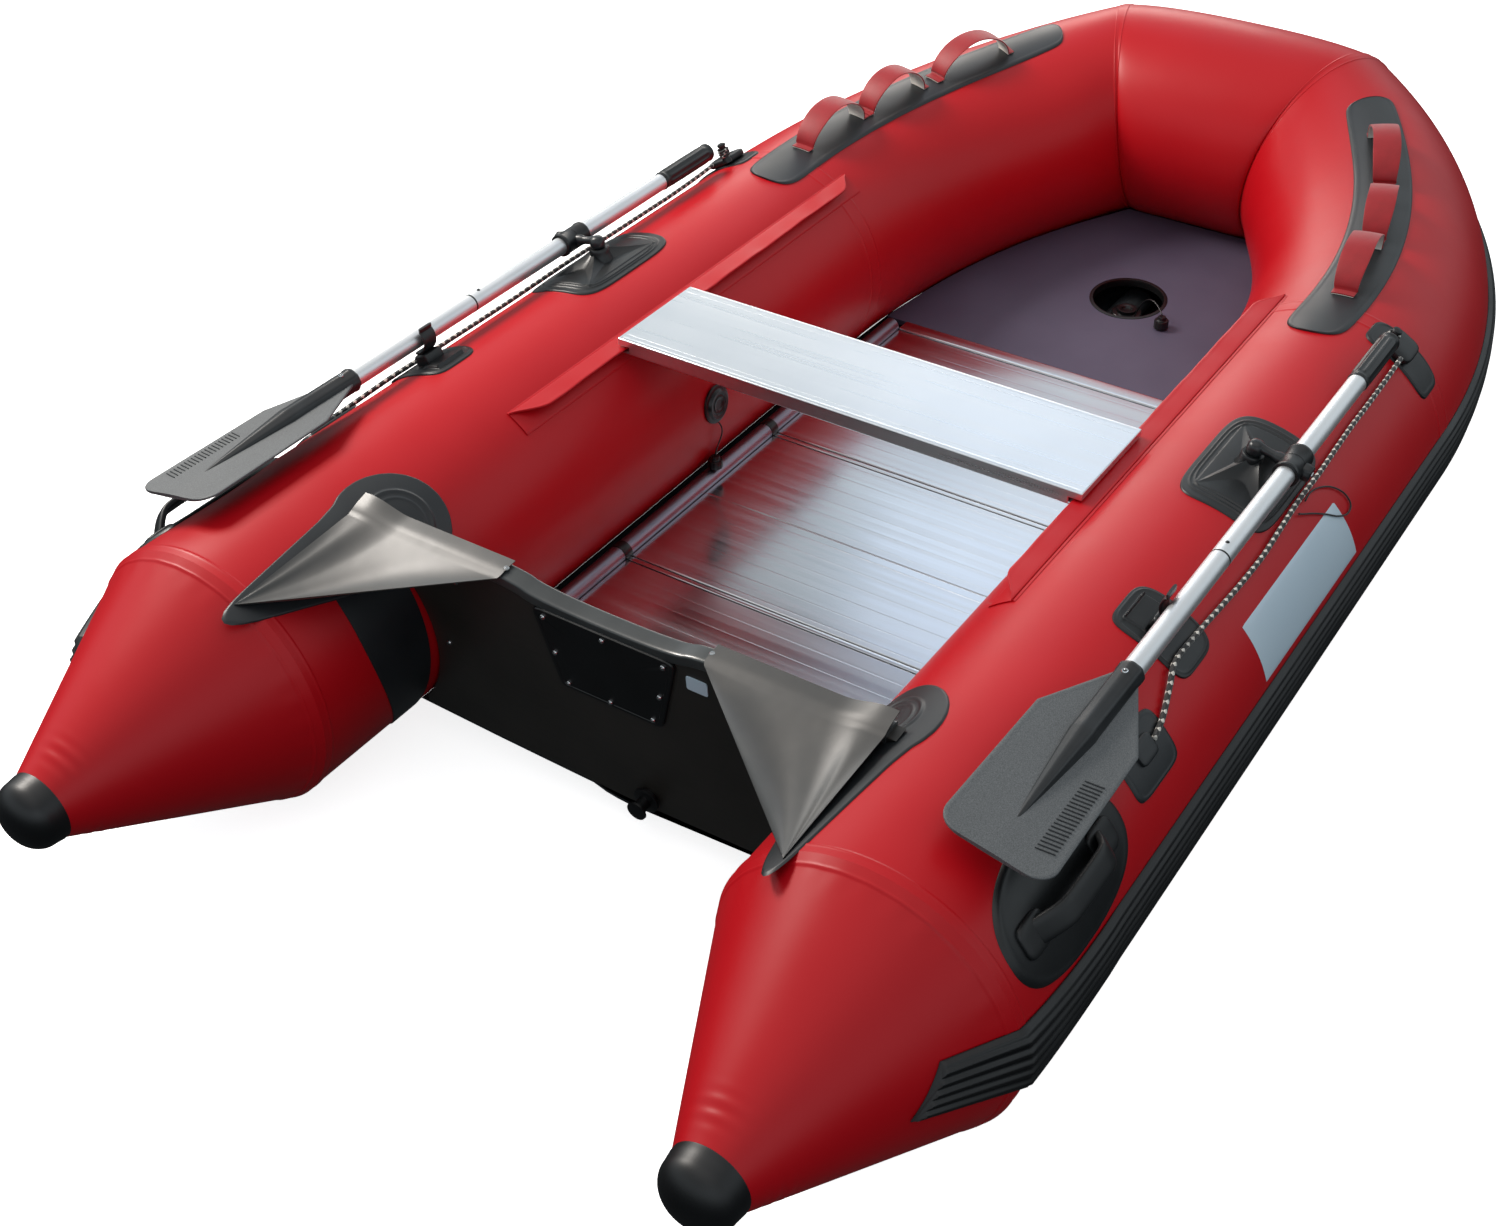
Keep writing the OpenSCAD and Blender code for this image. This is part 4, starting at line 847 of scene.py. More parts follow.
for nodeName in ("aft_floor_panel", "middle_floor_panel", "fore_floor_panel"):
    makePiece(nodeName.replace("_floor_panel", "FloorPanel"), [floorPanel(nodeName, panelGrooves)],
              "milledAluminium", replaces=[nodeName], sharp=50)
floorLow, floorHigh = cornersOf("middle_floor_panel")
joints = [cornersOf("aft_floor_panel")[1][0] + 0.001, floorHigh[0] + 0.001]
stripLoop = roundedLoop(0.0098, 0.013, 7, 32)
strips = [swept([(x, y, floorHigh[2] - 0.0068) for y in np.linspace(floorLow[1], floorHigh[1], 5)], stripLoop)
          for x in joints]
makePiece("floorJoiners", strips, "milledAluminium", sharp=50)
connectorLow, connectorHigh = cornersOf("floor_connector")
connectorMiddle = (connectorLow + connectorHigh) / 2
connectorLoop = roundedLoop(*(connectorHigh - connectorLow)[[0, 2]], 9, 40)
connectorY = np.linspace(connectorLow[1], connectorHigh[1], 5)[:, None]
connectorPath = connectorMiddle * [1, 0, 1] + connectorY * [0, 1, 0]
makePiece("floorConnector", [swept(connectorPath, connectorLoop)], "milledAluminium",
          replaces=["floor_connector"], sharp=50)

stringerLow, stringerHigh = cornersOf("floor_stringers")
r, length = (stringerHigh[2] - stringerLow[2]) / 2, stringerHigh[0] - stringerLow[0]
stringer = {"y": stringerHigh[1] - r, "z": (stringerHigh[2] + stringerLow[2]) / 2}
alongAxes = np.array([[0, 1.0, 0], [0, 0, 1.0], [1.0, 0, 0]])  # turns a profile's height into distance forward
stringerOrigin = (stringerLow[0], stringer["y"], stringer["z"])
stringerTube = turned([(0, 0), (r - 0.001, 0), (r, 0.001), (r, length - 0.001), (r - 0.001, length), (0, length)],
                      stringerOrigin, alongAxes, 40)
makePiece("floorStringers", [stringerTube], "drawnAluminium", replaces=["floor_stringers"], side="both",
          sharp=40)
sleeve = mm([(-2, -10), (0.8, -10), (1.2, -8), (1.2, 8), (0.8, 10), (-2, 10)]) + [r, 0]
makePiece("stringerSleeves", [turned(sleeve, (x, stringer["y"], stringer["z"]), alongAxes, 40) for x in joints],
          "mouldedAbs", side="both", sharp=40)

refinish("bow_board", "mattBoard")
refinish("hull_bottom", "coatedPvcGrey")
refinish("air_keel", "coatedPvcGrey")
boardTilt = math.radians(3.7)
boardAxes = np.array([[math.cos(boardTilt), 0, math.sin(boardTilt)], [0, 1.0, 0],
                      [-math.sin(boardTilt), 0, math.cos(boardTilt)]])
boardLow = cornersOf("bow_board")[0]
hatchTop = floorHigh[2] + (hatch[0] - boardLow[0]) * math.tan(boardTilt)
rim = [(0.0692, -0.013), (0.0692, 0.0), (0.0700, 0.0016), (0.0745, 0.0018), (0.0765, 0.0010), (0.0768, 0.0002),
       (0.0698, 0.0002), (0.0698, -0.013)]
rimLoop = turned(rim + rim[:1], (hatch[0], hatch[1], hatchTop), boardAxes, 96)
rimLoop["faces"] = rimLoop["faces"][:1]
makePiece("hatchRim", [rimLoop], "mouldedAbs", sharp=35)
print("floor made")


# Seat
sharpEdge = math.radians(35)


# A rounded copy of a frame node: its loose triangles are merged, and a live bevel softens the edges
def softened(nodeName, name, width, finishName, body, segments):
    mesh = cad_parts[nodeName].data.copy()
    mesh.name = name
    merged = bmesh.new()
    merged.from_mesh(mesh)
    bmesh.ops.remove_doubles(merged, verts=merged.verts, dist=1e-5)
    bmesh.ops.dissolve_limit(merged, angle_limit=0.02, verts=merged.verts, edges=merged.edges)
    merged.to_mesh(mesh)
    merged.free()
    made = bpy.data.objects.new(name, mesh)
    bpy.context.scene.collection.objects.link(made)
    mesh.materials.clear()
    mesh.materials.append(finish[finishName])
    mesh.shade_smooth()
    mesh.set_sharp_from_angle(angle=sharpEdge)
    bevel = made.modifiers.new("softEdges", "BEVEL")
    bevel.width = width
    bevel.segments = segments
    bevel.limit_method = "ANGLE"
    bevel.angle_limit = sharpEdge
    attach(made, body)
    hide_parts(nodeName)


softened("seat_board", "seatBoard", 0.0045, "anodisedSeat", "seat", 4)
seatLow, seatHigh = cornersOf("seat_board")
beadPath = np.linspace(seatLow[1] + 0.006, seatHigh[1] - 0.006, 5)
ribs = [(seatLow[0] + 0.006, 0.009), (seatHigh[0] - 0.006, 0.009), (seatLow[0] + 0.019, 0.0016),
        (seatHigh[0] - 0.019, 0.0016)]
seatLines = [swept([(x, y, seatHigh[2] - 0.0012) for y in beadPath], roundedLoop(width, 0.0028, 3, 16))
             for x, width in ribs]
makePiece("seatRibs", seatLines, "anodisedSeat", "seat", sharp=60)

seatRail = {"start": transomX + 0.341, "length": 1.0, "low": -42.0, "high": -29.0, "flap": 0.004, "taper": 0.07}
flapZ = tubeZ + (tubeR + 0.0035) * math.cos(math.radians(29.4)) - seatRail["flap"]
flapRoot = tubeY - math.sqrt((tubeR + 0.001) ** 2 - (flapZ - tubeZ) ** 2)
flapTip = tubeY - 0.142
baseX = np.linspace(seatRail["start"], seatRail["start"] + seatRail["length"], 120)
across = np.linspace(0, 1, 19)
baseAngle = seatRail["low"] + (seatRail["high"] - seatRail["low"]) * across
edge = np.minimum(across, 1 - across)
baseTop = tubeR + 0.0006 + 0.0016 * np.clip(edge / 0.04, 0, 1) ** 0.5
baseLoop = np.concatenate([baseAngle, baseAngle[::-1]])[None]
baseR = np.concatenate([baseTop, np.full(19, tubeR + 0.0006)])[None]
railBase = grid(onTube(straightAt(baseX), baseLoop, baseR))


# The flap is a flat strip whose free edge is rolled, waves a little and runs out to a point at each end
def railFlap(values):
    x = baseX
    ends = np.minimum(x - x[0], x[-1] - x)
    width = (flapRoot - flapTip) * smoothStep(ends / values["taper"] + 0.12)
    wave = 0.0007 * np.sin(x * 31) + 0.0004 * np.sin(x * 77 + 1)
    loop = roundedLoop(1, 1, 4, 28)
    y = flapRoot - width[:, None] * (0.5 - loop[None, :, 0])
    bead = 1 + 0.35 * smoothStep((-loop[:, 0] - 0.32) / 0.1)
    z = flapZ + values["flap"] * (0.5 + 0.8 * loop[None, :, 1] * bead) + wave[:, None] * (0.5 - loop[None, :, 0])
    return grid(np.stack([np.broadcast_to(x[:, None], y.shape), y, z], -1))


makePiece("seatRails", [railBase, railFlap(seatRail)], "coatedPvcRed", replaces=["seat_rails"], side="both",
          sharp=60)
print("seat made")


# Patches
patchThick = 0.0025
cornerPatch = {"x": transomX + 0.042, "degrees": -40.0, "thick": patchThick}
cornerShape = [(-0.320, 0.034), (-0.300, 0.046), (-0.085, 0.072)]
ovalT = np.radians(np.arange(120, -130, -12))
cornerShape += [(0.097 * math.cos(t), 0.092 * math.sin(t)) for t in ovalT]
cornerShape += [(-0.100, -0.052), (-0.300, 0.016)]
cornerLoop = rayOutline(cornerShape, np.array([0.0, 0.0]), 260, 3)


# The oval has a raised ring like a D: a thin ridge at a fixed distance from its middle, open towards the board
def cornerHeight(share, px, py):
    away = np.hypot(px - 0.012, py)
    h = roundedEdge(share, cornerPatch["thick"])
    ring = np.exp(-((away - 0.052) / 0.0028) ** 2) * smoothStep((px + 0.045) / 0.03)
    return h + 0.0022 * ring + 0.0012 * np.exp(-((away - 0.040) / 0.002) ** 2) * smoothStep((px + 0.035) / 0.03)


makePiece("cornerPatches", [relief(cornerPatch["x"], cornerPatch["degrees"], cornerLoop, cornerHeight, 60)],
          "coatedPvcCharcoal", replaces=["corner_patches"], side="both", sharp=50)

label = {"x": transomX + 0.695, "degrees": 62.0, "thick": 0.0008}
labelLoop = rayOutline([(-0.184, -0.048), (0.169, -0.048), (0.186, 0.048), (-0.174, 0.048)],
                       np.array([0.0, 0.0]), 400, 0)
makePiece("sideLabels", [relief(label["x"], label["degrees"], labelLoop, flatPatch(label["thick"]), 10)],
          "vinylFilm", replaces=["side_labels"], side="both", sharp=50)

linePatch = {"x": transomX + 0.200, "degrees": 48.0}
origin, axes = tubeFrame(linePatch["x"], 46.0)
lineParts = [relief(linePatch["x"], linePatch["degrees"], roundedLoop(0.118, 0.084, 6, 120),
                    flatPatch(patchThick, [0.9])),
             pebble((0.044, 0.032, 0.013), origin + 0.0025 * axes[2], axes, 5)]
makePiece("linePatches", lineParts, "coatedPvcCharcoal", replaces=["line_patches"], side="both", sharp=50)

sternHandle = {"x": transomX - 0.045, "degrees": 53.0, "a": 0.146, "b": 0.084, "width": 0.034, "thick": 0.011}
handleBar = np.array([(-0.093, -0.002), (-0.084, 0.008), (-0.066, 0.024), (-0.050, 0.0325), (-0.025, 0.0345),
                      (0.025, 0.0345), (0.050, 0.0325), (0.066, 0.024), (0.084, 0.008), (0.093, -0.002)])
origin, axes = tubeFrame(sternHandle["x"], sternHandle["degrees"])
barPath = origin + smoothPath(np.stack([handleBar[:, 0], handleBar[:, 0] * 0, handleBar[:, 1]], -1), 5) @ axes
foot = [pebble((0.056, 0.046, 0.016), origin + [k * 0.090, 0, 0] + 0.002 * axes[2], axes, 4) for k in (-1, 1)]
handleLoop = roundedLoop(2 * sternHandle["a"], 2 * sternHandle["b"], 2.3, 160)
handleParts = [relief(sternHandle["x"], sternHandle["degrees"], handleLoop, flatPatch(0.0028, [0.93], 0.0012)),
               swept(barPath, roundedLoop(sternHandle["width"], sternHandle["thick"], 3.5, 32), up=axes[2])] + foot
makePiece("sternHandles", handleParts, "mouldedRubber", replaces=["stern_handles"], side="both", sharp=50)

carryPatch = {"from": -0.07, "to": 0.8, "middle": -3.0, "half": 14.0, "thick": patchThick, "foot": 0.0008}


# The patch follows the bow: its width runs out round the corners at both ends, with a raised rim line
def carrySkin(values):
    s = 0.5 - 0.5 * np.cos(np.linspace(0, np.pi, 170))
    u = values["from"] + (values["to"] - values["from"]) * s
    f = np.linspace(-1, 1, 41)
    width = values["half"] * (1 - np.clip(np.abs(2 * s - 1), 0, 1) ** 34) ** 0.5
    slip = 2.0 * (2 * s - 1) ** 3
    rimLine = np.exp(-((np.abs(f) - 0.86) / 0.05) ** 2)
    top = values["foot"] + values["thick"] * np.clip((1 - np.abs(f)) / 0.03, 0, 1) ** 0.5 + 0.0007 * rimLine
    loopF, loopH = np.concatenate([f, f[::-1]]), np.concatenate([top, np.full(len(f), values["foot"])])
    degrees = values["middle"] + slip[:, None] + width[:, None] * loopF
    return grid(onTube(carryAt(u), degrees, tubeR + np.broadcast_to(loopH, degrees.shape)))


strap = {"ends": [(0.05, 0.19), (0.22, 0.36), (0.42, 0.61)], "height": 0.056, "half": 5.2}


# Each strap leaves the patch steeply and runs level over the hand: height is the root of a sine along it. At its
# ends the thickness is also laid along the boat, so that the lining stays inside the red strap
def strapSkin(start, end, bottom, thick, half):
    bend = np.linspace(0, np.pi, 70)
    t = np.concatenate([[-0.10, -0.05], 0.5 - 0.5 * np.cos(bend), [1.05, 1.10]])
    u = start + (end - start) * t
    rise = strap["height"] * np.concatenate([[0, 0], np.sqrt(np.sin(np.pi * t[2:-2]).clip(0)), [0, 0]])
    wave = 1 + 0.03 * np.sin(t * 9)
    loop = roundedLoop(2, 1, 7, 40)
    degrees = carryPatch["middle"] + half * wave[:, None] * loop[None, :, 0]
    depth = bottom + thick * (0.5 + loop[None, :, 1])
    points = onTube(carryAt(u), degrees, tubeR + 0.0042 + rise[:, None] + depth)
    forward = unit(np.gradient(points.mean(1) - rise[:, None] * [0, 0, 1.0], axis=0))
    lean = np.concatenate([[0, 0], -np.cos(bend), [0, 0]])
    return grid(points + (lean[:, None] * depth)[..., None] * forward[:, None])


redStraps = [strapSkin(a, b, 0.0011, 0.0018, strap["half"]) for a, b in strap["ends"]]
paleStraps = [strapSkin(a, b, 0.0, 0.0010, strap["half"] - 0.25) for a, b in strap["ends"]]
makePair("CarryPatch", [carrySkin(carryPatch)], "coatedPvcCharcoal", "_carry_patch")
makePair("CarryStraps", redStraps, "webbingRed", "_carry_straps")
makePair("StrapLinings", paleStraps, "webbingPale")
print("patches made")


# Rowlocks, clips and holders
rowlock = {"patch": (0.252, 0.150), "mound": (0.190, 0.104), "height": 0.0235, "rim": (0.80, 0.87)}


# A tent on the patch: ridges run from its corners to the middle, and its faces dish in between them
def rowlockHeight(share, px, py):
    h = roundedEdge(share, patchThick)
    for rim in rowlock["rim"]:
        h = h + 0.0016 * np.exp(-((share - rim) / 0.018) ** 2)
    ax, ay = np.abs(px) / (rowlock["mound"][0] / 2), np.abs(py) / (rowlock["mound"][1] / 2)
    m = np.maximum(ax, ay)
    ridge = np.minimum(ax, ay) / np.maximum(m, 1e-6)
    slope = np.clip(1 - m, 0, 1)
    tent = rowlock["height"] * slope ** 1.75
    dish = 0.034 * (1 - ridge ** 1.6) * slope * np.clip(m, 0, 1)
    border = 0.0012 * smoothStep((1.02 - m) / 0.04)
    return h + border + np.clip(tent - dish * (m < 1), 0, None)


lockOrigin, lockAxes = tubeFrame(lockX, lockDeg)
post = mm([(0, 26.8), (5.5, 26.8), (6.2, 26.2), (12, 26.8), (15.8, 26.2), (17, 24.5), (17.2, 20), (18, 12),
           (21, 4), (21, 2), (0, 2)])
base = relief(lockX, lockDeg + 2, roundedLoop(*rowlock["patch"], 5, 240), rowlockHeight, 90)
makePair("RowlockBase", [base, turned(post, lockOrigin, lockAxes, 48)], "mouldedRubber", "_rowlock_base", 35)

oarClip = {"x": transomX + 0.388, "degrees": 26.0}
oarDeg = math.degrees(math.atan2(oarCentre[1] - tubeY, oarCentre[2] - tubeZ))
oarOut = math.hypot(oarCentre[1] - tubeY, oarCentre[2] - tubeZ) - tubeR


# The clip's pad: a rounded patch with an oblong raised plate towards the middle of the boat
def clipHeight(share, px, py):
    h = roundedEdge(share, patchThick) + 0.0009 * np.exp(-((share - 0.9) / 0.03) ** 2)
    plate = smoothStep((0.031 - np.abs(px)) / 0.002) * smoothStep((0.017 - np.abs(py + 0.034)) / 0.0015)
    lip = np.exp(-((py + 0.049) / 0.0016) ** 2) * smoothStep((0.031 - np.abs(px)) / 0.002)
    return h + 0.003 * plate + 0.003 * lip


origin, axes = tubeFrame(oarClip["x"], oarDeg)
hookT = np.radians(np.linspace(158, 292, 34))
hookPath = np.stack([0 * hookT, 0.0237 * np.cos(hookT), oarOut + 0.0237 * np.sin(hookT)], -1)
hookPath = np.concatenate([hookPath[:1] + [[0, -0.003, 0.006]], hookPath])
hookLoop = roundedLoop(0.028, 0.0046, 4, 28)
clipParts = [relief(oarClip["x"], oarClip["degrees"], roundedLoop(0.106, 0.132, 4.5, 160), clipHeight, 60),
             swept(origin + hookPath @ axes, hookLoop[:, ::-1], up=axes[0]),
             pebble((0.040, 0.034, 0.021), origin + 0.0100 * axes[2] - 0.003 * axes[1], axes, 5)]
makePiece("oarClips", clipParts, "mouldedRubber", replaces=["oar_clips"], side="both", sharp=40)

gripHolder = {"x": transomX + 1.270, "degrees": 36.0}
holderOrigin, holderAxes = tubeFrame(gripHolder["x"], 31.0)
hornOrigin, hornAxes = tubeFrame(gripHolder["x"], oarDeg)
hornProfile = mm([(0, 46), (4, 45.8), (7.5, 44), (8.5, 41), (6.2, 37), (5.8, 26), (6.6, 18), (9, 12),
                  (9, 8), (0, 8)])
hornSpot = hornOrigin - 0.024 * hornAxes[0]
holderParts = [relief(gripHolder["x"] + 0.006, gripHolder["degrees"], roundedLoop(0.076, 0.146, 5, 160),
                      flatPatch(patchThick, [0.9])),
               pebble((0.064, 0.054, 0.016), holderOrigin + 0.002 * holderAxes[0] + 0.001 * holderAxes[1]
                      + 0.0098 * holderAxes[2], holderAxes, 4),
               turned(hornProfile, hornSpot, hornAxes, 32)]
makePiece("gripHolders", holderParts, "mouldedRubber", replaces=["grip_holders"], side="both", sharp=40)
turns = np.linspace(0, 2 * np.pi * 3.4, 120)
coil = np.stack([0.0088 * np.cos(turns), 0.0088 * np.sin(turns), 0.019 + turns / turns[-1] * 0.016], -1)
makePiece("hornLashings", [swept(hornSpot + coil @ hornAxes, circleLoop(0.005, 10), up=hornAxes[2])],
          "braidedRope", side="both", sharp=180)
print("rowlocks, clips and holders made")


# Oars
oar = {"collarR": 0.020, "collarHalf": 0.031, "gripStart": 0.266, "gripLength": 0.154, "gripR": shaftR + 0.0015,
       "aft": -0.552, "joint": -0.269, "neckR": shaftR + 0.004, "neck": 0.140, "tail": 0.190}
outAxes = np.array([lockAxes[2], lockAxes[0], lockAxes[1]])  # turns a profile's height outboard along the pin
pinReach = float((oarCentre - lockOrigin) @ lockAxes[1])
oarHeight = float((oarCentre - lockOrigin) @ lockAxes[2])
head = np.concatenate([
    mm([(0, 9), (5, 8.8), (9.5, 7), (12.5, 3), (13.2, -2), (12.8, -8)]) + [0, oarHeight],
    mm([(12, 28.2), (11.2, 27.5), (6.05, 27.5), (6.05, 9), (0, 9)])])
arm = [(0.0, 0.0), (0.0088, 0.004), (0.0080, 0.010), (0.0070, 0.014), (0.0068, 0.026), (0.0078, 0.030),
       (0.0092, 0.034), (0.0095, pinReach - 0.016), (0.0, pinReach - 0.016)]
nutBase = pinReach + 0.0175
nut = mm([(0, -2), (12.5, -2), (13, 2), (12.5, 10.5), (11.2, 12), (9.5, 12.5), (6, 12.5), (0, 12.5)]) + [0, nutBase]
armSpot = lockOrigin + oarHeight * lockAxes[2]
pinParts = [turned(head, lockOrigin, lockAxes, 40), turned(arm, armSpot, outAxes, 32),
            turned(nut, armSpot, outAxes, 40, 8, 0.03)]
boltHead = mm([(0, 15), (3, 14.8), (4.5, 13.8), (4.8, 12.5), (4.8, 10), (0, 10)]) + [0, nutBase]
c, h = oar["collarR"], oar["collarHalf"]
collar = [(shaftR - 0.001, -h), (c - 0.0022, -h), (c - 0.0004, -h + 0.0008), (c, -h + 0.003), (c, -h + 0.006),
          (c - 0.0012, -h + 0.008), (c - 0.0012, -0.0016), (c - 0.0020, -0.0008), (c - 0.0020, 0.0008),
          (c - 0.0012, 0.0016), (c - 0.0012, h - 0.008), (c, h - 0.006), (c, h - 0.003), (c - 0.0004, h - 0.0008),
          (c - 0.0022, h), (shaftR - 0.001, h)]
s = shaftR
shaftJoint = mm([(0, -1.2), (-1.3, -0.8), (-1.3, 0.6), (0, 1.2)]) + [s, oar["joint"]]
shaft = np.concatenate([[(0, oar["aft"] - 0.02), (s, oar["aft"] - 0.02)], shaftJoint,
                        [(s, oar["gripStart"] + 0.02), (0, oar["gripStart"] + 0.02)]])
jointRing = mm([(-2, -1.6), (0.2, -1.6), (0.3, 0), (0.2, 1.6), (-2, 1.6)]) + [s, 0]
button = [(0.0, s + 0.0016), (0.0018, s + 0.0014), (0.0030, s + 0.0002), (0.0031, s - 0.002), (0.0, s - 0.002)]


# The grip: ten rounded ribs round it, which die away before a plain ring at each end
def gripSkin(values):
    t = np.linspace(0, 1, 70)[:, None]
    a = np.linspace(0, 2 * np.pi, 160, endpoint=False)
    body = values["gripR"] + 0.0005 * np.sin(np.pi * t)
    ribs = 0.0013 * np.abs(np.cos(5 * a)) ** 3 * smoothStep((t - 0.07) / 0.05) * smoothStep((0.90 - t) / 0.05)
    ring = 0.0012 * np.exp(-((t - 0.955) / 0.02) ** 2) + 0.0010 * np.exp(-((t - 0.03) / 0.02) ** 2)
    tip = np.sqrt(np.clip(1 - np.clip((t - 0.975) / 0.025, 0, 1) ** 2, 0, 1))
    r = (body - 0.0008 + ribs + ring) * tip
    x = values["gripStart"] + values["gripLength"] * t
    local = np.stack([x * np.ones_like(a), r * np.cos(a), r * np.sin(a)], -1)
    return grid(oarCentre + local)


blade = {"length": 0.375, "half": 0.074, "thick": 0.005, "tilt": 12.0, "corner": 0.030, "marks": 20}
tilt = math.radians(blade["tilt"])
bladeAxes = np.array([[1.0, 0, 0], [0, math.cos(tilt), -math.sin(tilt)], [0, math.sin(tilt), math.cos(tilt)]])
bladeSpot = oarCentre + [oar["aft"], 0, 0]


# Half the blade's width by distance behind the shaft: it opens from the neck, then runs straight to round corners
def bladeHalf(d, values):
    wide = np.interp(d, [0.012, 0.125, 0.345], [0.016, values["half"] - 0.004, values["half"]])
    into = np.clip((d - (values["length"] - values["corner"])) / values["corner"], 0, 1)
    return wide - values["corner"] * (1 - np.sqrt(1 - into ** 2))


# Flat sides and a round edge: each section is a squarish oval, a little thicker along the middle
def bladeSkin(values):
    end = values["length"] - values["corner"] * (1 - np.sin(np.linspace(0, np.pi / 2, 20)))
    d = np.concatenate([np.linspace(0.012, 0.345, 60), end[1:]])
    w = bladeHalf(d, values)
    t = np.linspace(0, 2 * np.pi, 96, endpoint=False)
    c, sn = np.cos(t), np.sin(t)
    y = w[:, None] * np.sign(c) * np.abs(c) ** 0.75
    thick = values["thick"] / 2 * (1 + 0.25 * np.exp(-(y / 0.02) ** 2))
    rim = 1 + 0.22 * np.exp(-((np.abs(y) - (w[:, None] - 0.004)) / 0.003) ** 2)
    z = thick * rim * np.sign(sn) * np.abs(sn) ** 0.3
    local = np.stack([np.broadcast_to(-d[:, None], y.shape), y, z], -1)
    return grid(bladeSpot + local @ bladeAxes)


# The comb: short raised bars across the blade near its outboard edge, slightly slanted
def combMarks(values):
    bars = []
    for i in range(values["marks"]):
        path = np.array([(-0.205 - 0.0068 * i, y, 0.0031) for y in (0.036, 0.044, 0.052, 0.060)])
        path[:, 0] += (path[:, 1] - 0.036) * 0.25
        bars.append(swept(bladeSpot + path @ bladeAxes, roundedLoop(0.0016, 0.0012, 3, 8), up=bladeAxes[2]))
    return bars


r = oar["neckR"]
backAxes = np.array([[0, 1.0, 0], [0, 0, 1.0], [-1.0, 0, 0]])
neck = [(shaftR - 0.001, -0.001), (r - 0.001, -0.001), (r, 0.0005), (r, 0.006), (r - 0.0008, 0.008),
        (r - 0.0008, 0.13)]
tailD = np.linspace(oar["neck"], oar["neck"] + oar["tail"], 40)
tailR = (r - 0.0010) * (1 - (tailD - oar["neck"]) / oar["tail"]) ** 0.9 + 0.0006
neckProfile = np.concatenate([neck, np.stack([tailR, tailD], -1), [[0.0, tailD[-1]]]])
rivetHole = mm([(0, -1), (2.2, -1), (2.8, 0.6), (4.2, 0.8), (4.8, -0.2), (4.8, -3), (0, -3)]) + [0, r]
upAxes = np.eye(3)
# Each piece's name, parts, finish, the node that it stands for and its sharp angle
oarPieces = [
    ("RowlockPin", pinParts, "mouldedNylon", "_rowlock_pin", 40),
    ("RowlockBolt", [turned(boltHead, armSpot, outAxes, 24)], "polishedStainless", None, 40),
    ("OarCollar", [turned(collar + collar[:1], oarCentre, alongAxes, 64)], "mouldedRubber", "_oar_collar", 35),
    ("OarShaft", [turned(shaft, oarCentre, alongAxes, 64)], "anodisedTube", "_oar_shaft", 35),
    ("ShaftRing", [turned(jointRing, oarCentre + [oar["joint"], 0, 0], alongAxes, 64)], "mouldedAbs", None, 35),
    ("SpringButton", [turned(button, oarCentre + [oar["joint"] + 0.022, 0, 0], upAxes, 24)], "mouldedAbs", None, 35),
    ("OarGrip", [gripSkin(oar)], "mouldedRubber", "_oar_grip", 60),
    ("OarBlade", [bladeSkin(blade)], "etchedPolypropylene", "_oar_blade", 50),
    ("BladeSocket", [turned(neckProfile, bladeSpot, backAxes, 96, 8, 0.02)], "mouldedNylon", None, 40),
    ("BladeComb", combMarks(blade), "mouldedNylon", None, 60),
    ("SocketRivet", [turned(rivetHole, bladeSpot + [-0.022, 0, 0], upAxes, 28)], "polishedStainless", None, 35)]
for ending, parts, finishName, node, sharp in oarPieces:
    makePair(ending, parts, finishName, node, sharp, "oar")
print("oars made")


# Valves and rings
valveProfile = mm([(0, 6.5), (8.5, 6.8), (11, 8.8), (14, 9.2), (15, 7.5), (17.5, 7.2), (19, 9), (24.5, 9.5),
                   (26.2, 7), (27.5, 4.6), (32.5, 4.4), (34.2, 3.2), (34.5, 0.6), (0, 0.6)])
valveOrigin, valveAxes = tubeFrame(valveX, valveDeg)
makePiece("sideValves", [turned(valveProfile, valveOrigin, valveAxes, 64)], "mouldedAbs",
          replaces=["side_valves"], side="both", sharp=35)
capProfile = mm([(0, 0), (12, 0), (13.2, 1.2), (13.2, 14), (12.2, 15.8), (8.8, 16.2), (7.8, 17.5),
                 (7.8, 20.5), (6.8, 22.5), (0, 22.8)])
capSpot = (valveX, capTop[1], capLow[2])
makePiece("sideValveCaps", [turned(capProfile, capSpot, upAxes, 72, 12, 0.02)], "mouldedAbs",
          replaces=["side_valve_caps"], side="both", sharp=35)
keelProfile = mm([(0, 7), (8.5, 7.4), (11, 11.5), (16.5, 13), (19.5, 12.5), (20.5, 6.5), (28.5, 5.8),
                  (30, 4.5), (30, 0), (0, 0)])
makePiece("keelValve", [turned(keelProfile, (hatch[0], hatch[1], keelLow[2]), upAxes, 64)], "mouldedAbs",
          replaces=["keel_valve"], sharp=35)
scaleCap = capProfile * [1.06, 1.08]
makePiece("keelValveCap", [turned(scaleCap, (keelCap[0], keelCap[1], keelCapLow[2]), upAxes, 72, 12, 0.02)],
          "mouldedAbs", replaces=["keel_valve_cap"], sharp=35)

towRing = {"v": 0.24, "degrees": 128.0, "ringR": 0.019, "wire": 0.006, "stand": 0.007}
ringStation = frontAt([towRing["v"]])
ringFoot = onTube(ringStation, towRing["degrees"], tubeR)[0, 0]
ringReach = ringFoot - ringStation[0][0]
pathWay = bezierSlope(bowCurve["front"], [towRing["v"]])[0]
outWay = unit(ringReach - (ringReach @ pathWay) * pathWay)
sideWay = unit(np.cross([0, 0, 1.0], outWay))
ringAxes = np.array([np.cross(sideWay, outWay), sideWay, outWay])
padProfile = mm([(0, 8.5), (14, 8.5), (22, 6.2), (34, 4.8), (40.5, 4.2), (42, 3), (42, 1), (0, 1)])
t = np.linspace(0, 2 * np.pi, 49)
hoop = np.stack([np.cos(t), 0 * t, np.sin(t) + 1], -1) * towRing["ringR"] + [0, 0, towRing["stand"]]
